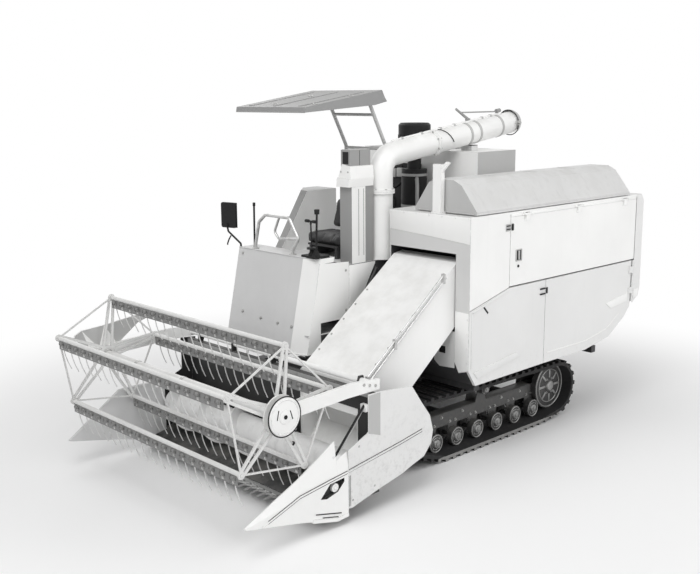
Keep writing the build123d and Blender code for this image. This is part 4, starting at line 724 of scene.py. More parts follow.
def repaint(name, kind, test):
    """Give the faces of a frame piece that pass the test another finish."""
    data = nodes[name].data
    data.materials.append(finish(kind))
    slot = len(data.materials) - 1
    for polygon in data.polygons:
        if test(polygon.center, polygon.normal):
            polygon.material_index = slot


def add_rivets(mesh, start, end, count, axis, radius=0.007):
    """A row of low round rivet heads."""
    start, end, axis = Vector(start), Vector(end), Vector(axis)
    for i in range(count):
        place = start.lerp(end, i / max(1, count - 1)) + axis * 0.0016
        add_drum(mesh, place, axis, radius, 0.0032, 12, end_radius=radius * 0.55)


def add_strip(mesh, x0, x1, points, width):
    """A flat strip through (y, z) points, lying against a side face."""
    for (ya, za), (yb, zb) in zip(points, points[1:]):
        run = Vector((0, yb - ya, zb - za))
        middle = Vector(((x0 + x1) / 2, (ya + yb) / 2, (za + zb) / 2))
        turn = Matrix.Rotation(math.atan2(run.z, run.y), 4, "X")
        half = Vector((abs(x1 - x0) / 2, run.length / 2 + width * 0.12, width / 2))
        add_block(mesh, middle - half, middle + half, min(width, abs(x1 - x0)) * 0.22, turn)


SHEET_RIM = 0.0012


def add_sheet(mesh, outline, axis, low, high):
    """A sheet with an outline in the plane square to an axis (0 for X, 1 for Y), bevelled at its rims."""
    corners = []
    for a, b in outline:
        corners.append(mesh.verts.new((low, a, b) if axis == 0 else (a, low, b)))
    face = mesh.faces.new(corners)
    made = bmesh.ops.extrude_face_region(mesh, geom=[face])
    verts = [v for v in made["geom"] if isinstance(v, bmesh.types.BMVert)]
    move = (high - low, 0, 0) if axis == 0 else (0, high - low, 0)
    bmesh.ops.translate(mesh, verts=verts, vec=move)
    round_edges(mesh, {e for v in verts for e in v.link_edges if all(w in verts for w in e.verts)}, SHEET_RIM)


def tube_point(s, lift=0.0, side=0.0):
    """A point along the unloading tube, square above its axis and to its side."""
    rise, run = math.sin(TUBE_SLOPE), math.cos(TUBE_SLOPE)
    return Vector((PIPE_X + side, PIPE_Y + s * run - lift * rise, TUBE_Z + s * rise + lift * run))


# Operators

class COMBINE_OT_finishes(bpy.types.Operator):
    """Give each piece of the frame its paint, rubber or metal"""
    bl_idname = "combine.finishes"
    bl_label = "Finishes"

    def execute(self, context):
        for name, kind in NODE_FINISH.items():
            node = nodes[name]
            node.data.materials.clear()
            node.data.materials.append(finish(kind))
        for name, kind, test in FACE_FINISH:
            repaint(name, kind, test)
        for number, name in enumerate(BAT_NAMES, 1):
            y, z = bat_place(number)
            repaint(name, "board", lambda c, n: c.z > z - 0.0785 and abs(c.y - y + BOARD_BACK) < BOARD_HALF)
            repaint(name, "board",
                    lambda c, n: c.z > z - 0.053 and (c.y - y + BOARD_BACK) ** 2 < BAT_TUBE ** 2)
            repaint(name, "reel", lambda c, n: (c.y - y) ** 2 + (c.z - z) ** 2 < BAT_TUBE ** 2)
        return {"FINISHED"}


PAD_VOXEL, PAD_TRAVEL = 0.006, 0.012
PAD_PRESSURE, PAD_STEPS = 4.0, 14


def pad_from_box(name, low, high, across):
    """A crowned pad, thin across one axis: a rounded block swollen by cloth, its travel capped."""
    mesh = bmesh.new()
    low, high = Vector(low), Vector(high)
    middle, size = (low + high) / 2, high - low
    bmesh.ops.create_cube(mesh, size=1.0, matrix=Matrix.Translation(middle) @ Matrix.Diagonal((*size, 1)))
    upright = [e for e in mesh.edges if abs((e.verts[0].co - e.verts[1].co).normalized()[across]) > 0.9]
    round_edges(mesh, upright, 0.04, 5)
    rims = [e for e in mesh.edges if len(e.link_faces) == 2 and e.calc_face_angle(0.0) > math.radians(60)]
    round_edges(mesh, rims, min(size) * 0.22, 4)
    bmesh.ops.recalc_face_normals(mesh, faces=mesh.faces)
    data = bpy.data.meshes.new(name)
    mesh.to_mesh(data)
    mesh.free()
    obj = bpy.data.objects.new(name, data)
    bpy.context.scene.collection.objects.link(obj)
    bpy.context.view_layer.objects.active = obj
    obj.select_set(True)
    remesh = obj.modifiers.new("Remesh", "REMESH")
    remesh.mode = "VOXEL"
    remesh.voxel_size = PAD_VOXEL
    bpy.ops.object.modifier_apply(modifier=remesh.name)
    rest = [v.co.copy() for v in obj.data.vertices]
    cloth = obj.modifiers.new("Cloth", "CLOTH")
    cloth.settings.use_pressure = True
    cloth.settings.uniform_pressure_force = PAD_PRESSURE
    cloth.settings.effector_weights.gravity = 0.0
    cloth.settings.quality = 5
    cloth.collision_settings.use_collision = False
    scene = bpy.context.scene
    for step in range(1, PAD_STEPS + 1):
        scene.frame_set(step)
    graph = bpy.context.evaluated_depsgraph_get()
    swollen = [v.co.copy() for v in obj.evaluated_get(graph).data.vertices]
    obj.modifiers.remove(cloth)
    scene.frame_set(1)
    for vertex, start, end in zip(obj.data.vertices, rest, swollen):
        move = end - start
        if move.length > PAD_TRAVEL:
            move *= PAD_TRAVEL / move.length
        vertex.co = start + move
    obj.select_set(False)
    return obj


SEAT_PIVOT_Y, SEAT_PIVOT_Z, SEAT_LEAN = -0.048, 1.761, math.radians(-15)
BACK_HALF, BACK_TOP = 0.026, 2.025
CHANNEL_DEPTH, CHANNEL_WIDTH, CROSS_WIDTH = 0.007, 0.035, 0.022


class COMBINE_OT_seat(bpy.types.Operator):
    """Padded vinyl cushion and back of the operator's seat, with sewn channels"""
    bl_idname = "combine.seat"
    bl_label = "Seat pads"

    def execute(self, context):
        for name, axis, lean in (("seat_cushion", 2, 0.0), ("seat_back", 1, SEAT_LEAN)):
            low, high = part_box(name)
            pivot = Vector(((low.x + high.x) / 2, SEAT_PIVOT_Y, SEAT_PIVOT_Z))
            turn = Matrix.Translation(pivot) @ Matrix.Rotation(lean, 4, "X") @ Matrix.Translation(-pivot)
            if axis == 1:
                low = Vector((low.x, pivot.y - BACK_HALF, low.z))
                high = Vector((high.x, pivot.y + BACK_HALF, BACK_TOP))
            inset = Vector((0.010, 0.010, 0.008)) if axis == 2 else Vector((0.010, 0.008, 0.010))
            pad = pad_from_box(name + "_pad", low + inset, high - inset, axis)
            width = high.x - low.x
            for vertex in pad.data.vertices:
                side = (vertex.co.x - (low.x + high.x) / 2) / (width / 2)
                face = vertex.co.z - (low.z + high.z) / 2 if axis == 2 else (low.y + high.y) / 2 - vertex.co.y
                if face > 0.004:
                    along = vertex.co.y if axis == 2 else vertex.co.z
                    channel = 0.0
                    for seam in (-0.5, 0.5):
                        channel += math.exp(-((side - seam) / CHANNEL_WIDTH) ** 2)
                    start, stop = (low.y, high.y) if axis == 2 else (low.z, high.z)
                    share = (along - start) / (stop - start)
                    cross = math.exp(-((share - 0.5) / CROSS_WIDTH) ** 2) if abs(side) < 0.5 else 0.0
                    dip = CHANNEL_DEPTH * min(1.0, channel + cross)
                    if axis == 2:
                        vertex.co.z -= dip
                    else:
                        vertex.co.y += dip
            if axis == 1:
                pad.data.transform(turn)
            pad.data.materials.append(finish("vinyl"))
            smooth = pad.modifiers.new("Smooth surface", "SUBSURF")
            smooth.levels = 1
            smooth.render_levels = 1
            for polygon in pad.data.polygons:
                polygon.use_smooth = True
            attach(pad, "machine")
            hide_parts(name)
        return {"FINISHED"}


TINES, TINE_PITCH = 19, 0.110
COIL_RADIUS, COIL_REACH, COIL_STEPS = 0.0148, 0.014, 9


class COMBINE_OT_tine_springs(bpy.types.Operator):
    """Coil springs at the foot of each tine, with the clips that hold them to the bats"""
    bl_idname = "combine.tine_springs"
    bl_label = "Tine springs"

    def execute(self, context):
        fittings = context.scene.combine_fittings
        for number, name in enumerate(BAT_NAMES, 1):
            y, z = bat_place(number)
            mesh = bmesh.new()
            for i in range(TINES):
                x = (i - TINES // 2) * TINE_PITCH
                for side in (-1, 1):
                    place = Vector((x + side * 0.013, y - BOARD_BACK, z - 0.034))
                    start = Matrix.Translation(place + Vector((0, 0, COIL_RADIUS)))
                    ring = bmesh.ops.create_circle(mesh, segments=4, radius=fittings.coil_wire / 2,
                                                   matrix=start @ Matrix.Rotation(math.radians(90), 4, "Y"))
                    edges = list({e for v in ring["verts"] for e in v.link_edges})
                    turns = fittings.coil_turns
                    bmesh.ops.spin(mesh, geom=ring["verts"] + edges, cent=place, axis=(1, 0, 0),
                                   dvec=(side * COIL_REACH / (turns * COIL_STEPS), 0, 0),
                                   angle=math.tau * turns, steps=turns * COIL_STEPS,
                                   use_merge=False, use_duplicate=False)
                add_block(mesh, (x - 0.011, y - 0.0125, z - 0.070), (x + 0.011, y - 0.0115, z - 0.052))
                add_drum(mesh, (x, y - 0.0135, z - 0.061), (0, -1, 0), 0.006, 0.004, 6)
            bmesh.ops.remove_doubles(mesh, verts=mesh.verts, dist=1e-6)
            new_piece(f"tine_springs_{number}", mesh, "steel", name)
        return {"FINISHED"}


class COMBINE_OT_fasteners(bpy.types.Operator):
    """Rivets and bolts on the body, platform, header and feeder"""
    bl_idname = "combine.fasteners"
    bl_label = "Fasteners"

    def execute(self, context):
        size = context.scene.combine_fittings.bolt_size
        mesh = bmesh.new()
        add_rivets(mesh, (SIDE, 0.0, 0.690), (SIDE, 0.85, 0.696), 6, (1, 0, 0))
        add_rivets(mesh, (SIDE, 2.235, 1.03), (SIDE, 2.235, 1.36), 4, (1, 0, 0))
        add_rivets(mesh, (1.064, -0.0958, 0.86), (1.064, -0.0958, 1.20), 4, (0, -1, 0))
        add_rivets(mesh, (0.27, -0.0964, 1.965), (1.064, -0.0964, 1.965), 7, (0, -1, 0))
        add_rivets(mesh, (SIDE, 2.275, 1.96), (SIDE, 2.275, 1.16), 6, (1, 0, 0))
        new_piece("body_rivets", mesh, "body", "machine")

        mesh = bmesh.new()
        for x, z in ((-0.752, 1.593), (-0.647, 1.132), (-0.405, 1.113), (-0.189, 1.107), (-0.020, 1.106)):
            add_bolt(mesh, (x, dash_y(z) - 0.0005, z), (0, -0.978, -0.205), size)
        for z in (1.20, 1.52):
            add_bolt(mesh, (0.1505, -0.49, z), (1, 0, 0), size * 0.8)
        new_piece("platform_fasteners", mesh, "zinc", "machine")

        mesh = bmesh.new()
        for side in (-1, 1):
            for y, z in ((-1.30, 0.53), (-1.36, 0.16), (-1.15, 0.205)):
                add_drum(mesh, (side * 1.1312, y, z), (side, 0, 0), 0.009, 0.0024, 12, end_radius=0.006)
        new_piece("header_rivets", mesh, "zinc", "header")

        mesh = bmesh.new()
        slope = Vector((0, -0.603, 0.798))
        for x in (0.300, 0.905):
            start, end = Vector((x, -1.04, 0.8875)), Vector((x, -0.40, 1.3725))
            for i in range(6):
                add_bolt(mesh, start.lerp(end, i / 5) + slope * 0.0004, slope, size * 0.7)
        new_piece("feeder_bolts", mesh, "zinc", "header")
        return {"FINISHED"}


class COMBINE_OT_body_sheets(bpy.types.Operator):
    """Sheets, ledges, bands and strips of the thresher, the platform's side sheet and the tank's ribs"""
    bl_idname = "combine.body_sheets"
    bl_label = "Body sheets"

    def execute(self, context):
        mesh = bmesh.new()
        add_sheet(mesh, [(0.251, 1.826), (0.679, 1.804), (1.0795, 1.776), (1.0795, 1.979), (0.251, 1.979)], 1,
                  FRONT_FACE, -0.0962)
        new_piece("hood_front_sheet", mesh, "body", "machine")
        mesh = bmesh.new()
        strip = [(0.9445, 0.856), (0.988, 0.776), (1.0785, 0.802), (1.0785, 1.250), (0.9445, 1.253)]
        add_sheet(mesh, strip, 1, FRONT_FACE, -0.0956)
        new_piece("front_strip_sheet", mesh, "body", "machine")
        mesh = bmesh.new()
        add_sheet(mesh, [(0.735, 0.830), (0.790, 0.790), (0.9420, 0.800), (0.9420, 1.090), (0.735, 1.090)], 1,
                  -0.0903, -0.0925)
        new_piece("feeder_sill_sheet", mesh, "pale", "machine")
        mesh = bmesh.new()
        add_block(mesh, (0.788, -0.0945, 0.902), (0.850, -0.0926, 0.958), 0.0008)
        new_piece("feeder_sill_window", mesh, "plastic", "machine")

        mesh = bmesh.new()
        add_sheet(mesh, [(-0.034, 0.778), (0.016, 0.722), (0.560, 0.799), (0.492, 0.845)], 0,
                  ON_SIDE, SIDE + 0.007)
        add_strip(mesh, ON_SIDE, SIDE + 0.004, [(-0.055, 0.81), (-0.055, 1.25), (0.37, 1.362)], 0.018)
        new_piece("lower_panel_ledge", mesh, "lower", "machine")
        mesh = bmesh.new()
        ledge = [(1.793, 1.046), (1.880, 0.990), (2.150, 1.014), (2.150, 1.092)]
        add_sheet(mesh, ledge, 0, ON_SIDE, SIDE + 0.006)
        rim = [(0.93, 0.76), (1.50, 0.76), (1.83, 0.81), (2.02, 0.92)]
        add_strip(mesh, ON_SIDE, SIDE + 0.003, rim, 0.012)
        new_piece("lower_door_band", mesh, "body", "lower_door")
        mesh = bmesh.new()
        ledge = [(2.256, 1.028), (2.338, 1.036), (2.338, 1.112), (2.256, 1.104)]
        add_sheet(mesh, ledge, 0, ON_SIDE, SIDE + 0.006)
        new_piece("straw_hood_band", mesh, "body", "machine")

        mesh = bmesh.new()
        gusset = [(-0.455, 1.215), (-0.290, 1.330), (-0.165, 1.540), (-0.165, 1.556), (-0.455, 1.556)]
        add_sheet(mesh, gusset, 0, 0.1504, 0.1532)
        new_piece("platform_side_sheet", mesh, "body", "machine")

        mesh = bmesh.new()
        add_block(mesh, (0.50, -0.026, 1.992), (1.05, -0.021, 1.998), 0.001)
        for y in (0.50, 1.05, 1.60):
            add_block(mesh, (0.665, y - 0.006, 2.2383), (0.840, y + 0.006, 2.2405), 0.0008)
        add_block(mesh, (1.0785, -0.010, 1.9875), (1.0825, 2.110, 2.000), 0.001)
        new_piece("drum_cover_trim", mesh, "hatch", "drum_cover")

        mesh = bmesh.new()
        for y0, y1 in ((0.393, 0.566), (0.634, 1.286), (1.354, 2.006), (2.074, 2.236)):
            add_block(mesh, (ON_SIDE, y0, 1.9410), (SIDE + 0.0030, y1, 1.9640), 0.001)
        new_piece("door_top_strip", mesh, "body", "machine")

        mesh = bmesh.new()
        for z in (1.16, 1.44, 1.72):
            add_block(mesh, (-1.0045, 0.960, z), (TANK_SIDE, 1.950, z + 0.030), 0.0018)
            add_block(mesh, (-0.900, 2.0503, z), (0.160, 2.0545, z + 0.030), 0.0018)
        for y0, y1 in ((0.905, 0.925), (1.985, 2.005)):
            add_block(mesh, (-1.0030, y0, 0.96), (TANK_SIDE, y1, 1.94), 0.001)
        new_piece("tank_ribs", mesh, "body", "machine")
        mesh = bmesh.new()
        add_rivets(mesh, (-1.0030, 0.915, 1.00), (-1.0030, 0.915, 1.90), 9, (-1, 0, 0), 0.008)
        add_rivets(mesh, (-1.0030, 1.995, 1.00), (-1.0030, 1.995, 1.90), 9, (-1, 0, 0), 0.008)
        new_piece("tank_rivets", mesh, "zinc", "machine")
        return {"FINISHED"}


class COMBINE_OT_door_hardware(bpy.types.Operator):
    """Catch, handle, lock and latches of the side doors, and the slot in the panel below them"""
    bl_idname = "combine.door_hardware"
    bl_label = "Door hardware"

    def execute(self, context):
        mesh = bmesh.new()
        add_block(mesh, (ON_SIDE, 0.330, 1.834), (SIDE + 0.005, 0.384, 1.890), 0.001)
        new_piece("door_catch_plate", mesh, "grey", "machine")
        mesh = bmesh.new()
        for z in (1.846, 1.872):
            add_block(mesh, (SIDE + 0.005, 0.334, z), (SIDE + 0.013, 0.382, z + 0.008), 0.002)
        add_block(mesh, (ON_SIDE, 0.804, 1.264), (SIDE + 0.010, 0.872, 1.276), 0.002)
        add_block(mesh, (ON_SIDE, 0.804, 1.308), (SIDE + 0.010, 0.872, 1.320), 0.002)
        new_piece("door_catch_bars", mesh, "plastic", "machine")
        mesh = bmesh.new()
        add_block(mesh, (ON_SIDE, 0.402, 1.836), (SIDE + 0.009, 0.424, 1.888), 0.002)
        add_block(mesh, (ON_SIDE, 0.473, 1.592), (SIDE + 0.0013, 0.532, 1.671))
        add_drum(mesh, (SIDE + 0.003, 0.500, 1.544), (1, 0, 0), 0.011, 0.0056, 20, bevel=0.001)
        new_piece("upper_door_recess", mesh, "plastic", "upper_door")
        mesh = bmesh.new()
        frame_line = [(0.468, 1.588), (0.537, 1.588), (0.537, 1.675), (0.468, 1.675), (0.468, 1.588)]
        add_strip(mesh, ON_SIDE, SIDE + 0.007, frame_line, 0.009)
        add_block(mesh, (SIDE + 0.001, 0.492, 1.596), (SIDE + 0.014, 0.506, 1.668), 0.004)
        new_piece("upper_door_handle", mesh, "grey", "upper_door")
        mesh = bmesh.new()
        add_block(mesh, (ON_SIDE, 0.8875, 1.268), (SIDE + 0.008, 0.905, 1.318), 0.002)
        new_piece("lower_door_keeper", mesh, "plastic", "lower_door")
        mesh = bmesh.new()
        add_strip(mesh, ON_SIDE, SIDE + 0.003, [(0.074, 1.283), (0.132, 1.222)], 0.014)
        new_piece("lower_panel_slot", mesh, "plastic", "machine")
        return {"FINISHED"}


class COMBINE_OT_running_gear(bpy.types.Operator):
    """Hubs, rims and bolts of the rollers, idlers and sprockets, and bolts and caps of the track frames"""
    bl_idname = "combine.running_gear"
    bl_label = "Running gear"

    def execute(self, context):
        for side, hand in ((1, "left"), (-1, "right")):
            axis = Vector((side, 0, 0))
            face = side * WHEEL_FACE
            mesh = bmesh.new()
            rollers = [(y, ROLLER_Z, 0.078) for y in ROLLER_YS] + [(*CARRIER, 0.052)]
            for y, z, r in rollers:
                add_drum(mesh, (face + side * 0.007, y, z), axis, r * 0.50, 0.014, 20,
                         end_radius=r * 0.40, bevel=0.002)
                add_drum(mesh, (face + side * 0.017, y, z), axis, r * 0.22, 0.008, 12, bevel=0.001)
                for i in range(4):
                    a = math.tau * (i + 0.5) / 4
                    spot = (face + side * 0.002, y + r * 0.68 * math.cos(a), z + r * 0.68 * math.sin(a))
                    add_drum(mesh, spot, axis, r * 0.09, 0.005, 6)
            for (y, z), wheel_face, reach in ((IDLER, WHEEL_FACE, 0.070), (SPROCKET, SPROCKET_BOLTS, 0.050)):
                x = side * wheel_face
                add_drum(mesh, (x + side * 0.010, y, z), axis, reach * 0.75, 0.020, 28,
                         end_radius=reach * 0.6, bevel=0.003)
                for i in range(6):
                    a = math.tau * i / 6
                    add_bolt(mesh, (x, y + reach * math.cos(a), z + reach * math.sin(a)), axis, 0.014)
            new_piece(f"wheel_hubs_{hand}", mesh, "hub", "machine")

            mesh = bmesh.new()
            for y in ROLLER_YS:
                add_ring(mesh, (face, y, ROLLER_Z), axis, 0.070, 0.0045, 28, 6)
                add_ring(mesh, (face, y, ROLLER_Z), axis, 0.048, 0.0025, 24, 6)
            add_ring(mesh, (face, *IDLER), axis, 0.194, 0.006, 48, 6)
            add_ring(mesh, (face, *IDLER), axis, 0.150, 0.0045, 40, 6)
            for i in range(8):
                a = math.tau * i / 8
                turn = Matrix.Rotation(a, 4, "X")
                middle = Vector((face + side * 0.003, *IDLER)) + turn @ Vector((0, 0.112, 0))
                half = Vector((0.004, 0.036, 0.010))
                add_block(mesh, middle - half, middle + half, 0.002, turn)
            new_piece(f"wheel_rims_{hand}", mesh, "hub", "machine")

            mesh = bmesh.new()
            for y in ROLLER_YS:
                for dy in (-0.034, 0.034):
                    add_bolt(mesh, (side * FRAME_FACE, y + dy, 0.248), axis, 0.016)
            for y in (0.06, 0.32, 0.84, 1.10):
                add_bolt(mesh, (side * FRAME_FACE, y, 0.302), axis, 0.018)
            new_piece(f"track_frame_bolts_{hand}", mesh, "zinc", "machine")
            mesh = bmesh.new()
            middle = side * 0.640
            add_block(mesh, (middle - 0.040, -0.105, 0.3303), (middle + 0.040, 1.255, 0.334), 0.001)
            new_piece(f"track_frame_cap_{hand}", mesh, "beam", "machine")
        return {"FINISHED"}


class COMBINE_OT_reel_details(bpy.types.Operator):
    """Bearing cover, arm bolts and shaft collars of the reel"""
    bl_idname = "combine.reel_details"
    bl_label = "Reel details"

    def execute(self, context):
        y, z = REEL
        mesh = bmesh.new()
        add_drum(mesh, (1.1175, y, z), (1, 0, 0), 0.129, 0.0095, 56, end_radius=0.124, bevel=0.002)
        add_ring(mesh, (1.1215, y, z), (1, 0, 0), 0.112, 0.0045, 56, 8)
        add_drum(mesh, (1.1240, y, z), (1, 0, 0), 0.046, 0.006, 32, bevel=0.0015)
        new_piece("reel_bearing_cover", mesh, "body", "reel_arms")
        mesh = bmesh.new()
        add_ring(mesh, (1.1170, y, z), (1, 0, 0), 0.1315, 0.004, 56, 8)
        for dy, dz, turn in ((0.052, 0.004, 18), (-0.058, 0.022, -12)):
            spin = Matrix.Rotation(math.radians(turn), 4, "X")
            half = Vector((0.0008, 0.0035, 0.032))
            middle = Vector((1.1226, y + dy, z + dz))
            add_block(mesh, middle - half, middle + half, 0.0, spin)
        add_drum(mesh, (1.1282, y, z), (1, 0, 0), 0.015, 0.005, 6)
        new_piece("reel_cover_rim", mesh, "plastic", "reel_arms")

        mesh = bmesh.new()
        for side in (-1, 1):
            for dy, dz in ((0.0, 0.0), (-0.055, 0.012), (-0.110, 0.026)):
                add_drum(mesh, (side * 1.1145, -1.125 + dy, 0.920 + dz), (side, 0, 0), 0.011, 0.005, 6)
        new_piece("reel_arm_bolts", mesh, "zinc", "reel_arms")

        mesh = bmesh.new()
        for x in (-1.044, 1.044):
            add_ring(mesh, (x, y, z), (1, 0, 0), 0.033, 0.006, 28, 8)
        for x in (-0.6, 0.0, 0.6):
            add_band(mesh, (x, y, z), (1, 0, 0), 0.0283, 0.030, 0.003)
        new_piece("reel_shaft_collars", mesh, "zinc", "reel")
        return {"FINISHED"}


KNIVES, KNIFE_PITCH = 27, 0.076


class COMBINE_OT_header_details(bpy.types.Operator):
    """Knife sections, seams and painted shade lines beside the side plates' beads, auger finger guides, the
    brace in the side opening and the beam's face
    """
    bl_idname = "combine.header_details"
    bl_label = "Header details"

    def execute(self, context):
        mesh = bmesh.new()
        for i in range(KNIVES):
            x = (i - KNIVES // 2) * KNIFE_PITCH
            place = Matrix.Translation((x, -1.612, 0.1012)) @ Matrix.Rotation(math.radians(-90), 4, "Z")
            bmesh.ops.create_cone(mesh, cap_ends=True, segments=3, radius1=0.036, radius2=0.034, depth=0.002,
                                  matrix=place)
            add_drum(mesh, (x, -1.590, 0.1035), (0, 0, 1), 0.005, 0.003, 8)
        add_block(mesh, (-1.04, -1.600, 0.1002), (1.04, -1.586, 0.1022), 0.0005)
        new_piece("knife_sections", mesh, "steel", "header")

        for side, hand in ((1, "left"), (-1, "right")):
            mesh = bmesh.new()
            x0, x1, x2 = side * HEADER_SIDE, side * 1.1318, side * 1.1336
            # Pairs of dark strips along both sides of the side plates' two beads: painted shade beside the
            # raised beads
            lines = [(-1.398, 0.379), (-0.896, 0.450), (-0.665, 0.489)]
            for shift in (-0.0105, 0.0105):
                add_strip(mesh, x0, x1, [(y, z + shift) for y, z in lines], 0.004)
            beads = [(-2.10, 0.2316), (-1.835, 0.322), (-1.560, 0.358), (-1.410, 0.3755)]
            for shift in (-0.0095, 0.0095):
                add_strip(mesh, x0, x1, [(y, z + shift) for y, z in beads], 0.004)
            add_strip(mesh, x0, x2, [(-1.700, 0.158), (-1.470, 0.102)], 0.007)
            add_strip(mesh, x0, x2, [(-1.640, 0.118), (-1.500, 0.084)], 0.006)
            for y in (-1.3965, -1.3835):
                add_strip(mesh, x0, x1, [(y, 0.125), (y, 0.345)], 0.003)
            new_piece(f"header_seam_and_shade_lines_{hand}", mesh, "plastic", "header")

        brace = [(1.104, -1.500, 0.505), (1.104, -1.225, 0.800)]
        swept("header_brace_rod", brace, 0.009, "plastic", "header")
        brace = [(1.082, -1.470, 0.480), (1.082, -1.215, 0.765)]
        swept("header_brace_inner", brace, 0.007, "steel", "header")
        mesh = bmesh.new()
        add_block(mesh, (1.070, -1.530, 0.470), (1.112, -1.455, 0.512), 0.006)
        add_block(mesh, (1.070, -1.232, 0.752), (1.1235, -1.200, 0.806), 0.004)
        new_piece("header_brace_ends", mesh, "lower", "header")

        mesh = bmesh.new()
        y, z = TABLE_AUGER
        for i, x in enumerate((0.300, 0.420, 0.540, 0.660, 0.780, 0.900)):
            a = math.radians(70 * i)
            axis = Vector((0, math.cos(a), math.sin(a)))
            add_drum(mesh, Vector((x, y, z)) + axis * 0.113, axis, 0.019, 0.010, 16, end_radius=0.015)
        new_piece("auger_finger_guides", mesh, "plastic", "table_auger")

        mesh = bmesh.new()
        add_block(mesh, (-1.118, -1.1445, 0.8235), (1.118, -1.1425, 0.858), 0.001)
        for x in (-0.9, -0.6, -0.3, 0.0, 0.3, 0.6, 0.9):
            add_bolt(mesh, (x, -1.1450, 0.842), (0, -1, 0), 0.015)
        new_piece("header_beam_face", mesh, "shadow", "header")
        return {"FINISHED"}


class COMBINE_OT_unloader_details(bpy.types.Operator):
    """Bolts, bands, clips and rubber rest of the unloading tube"""
    bl_idname = "combine.unloader_details"
    bl_label = "Unloader details"

    def execute(self, context):
        along = (tube_point(1.0) - tube_point(0.0)).normalized()
        lift = Vector((0, -along.z, along.y))
        mesh = bmesh.new()
        for i in range(8):
            a = math.tau * (i + 0.5) / 8
            out = Vector((math.cos(a), 0, 0)) + lift * math.sin(a)
            add_bolt(mesh, tube_point(0.5998) + out * 0.1045, -along, 0.012)
            add_bolt(mesh, tube_point(0.6312) + out * 0.1045, along, 0.012)
            spot = (PIPE_X + 0.105 * math.cos(a), PIPE_Y + 0.105 * math.sin(a), 2.1267)
            add_bolt(mesh, spot, (0, 0, 1), 0.012)
        for side in (-1, 1):
            add_bolt(mesh, tube_point(1.673, 0, side * 0.1222), (side, 0, 0), 0.030)
        new_piece("unloader_bolts", mesh, "zinc", "unloader")

        mesh = bmesh.new()
        for s in (1.045, 1.170, 1.480):
            add_band(mesh, tube_point(s), along, 0.0973, 0.026, 0.0035, 40)
        for s in (0.26, 0.50, 0.74, 0.92, 1.30, 1.42):
            middle = tube_point(s, 0.1025)
            half = Vector((0.014, 0.010, 0.012))
            add_block(mesh, middle - half, middle + half, 0.003, Matrix.Rotation(TUBE_SLOPE, 4, "X"))
        new_piece("unloader_bands", mesh, "grey", "unloader")

        strap, steps, radius = [], 12, 0.1030
        for i in range(steps + 1):
            a = math.radians(-100 + 200 * i / steps)
            point = tube_point(0.600 + 0.19 * (i / steps), radius * math.cos(a), radius * math.sin(a))
            strap.append(tuple(point))
        swept("unloader_strap", strap, 0.0035, "plastic", "unloader")

        mesh = bmesh.new()
        add_ring(mesh, tube_point(1.684), along, 0.1135, 0.0045, 48, 8)
        new_piece("spout_seam", mesh, "plastic", "spout")

        mesh = bmesh.new()
        top = tube_point(1.121).z - 0.097 - 0.011
        add_block(mesh, (0.045, 1.020, top - 0.001), (0.165, 1.100, top + 0.0055), 0.002)
        for x in (0.052, 0.158):
            add_block(mesh, (x - 0.0035, 1.025, top - 0.030), (x + 0.0035, 1.095, top + 0.004), 0.001)
        new_piece("tube_rest_pad", mesh, "plastic", "machine")
        return {"FINISHED"}


# Height of the feet of the hoses and the bracket, 8 mm above the top of the engine's cover
BAY_FEET = 1.568


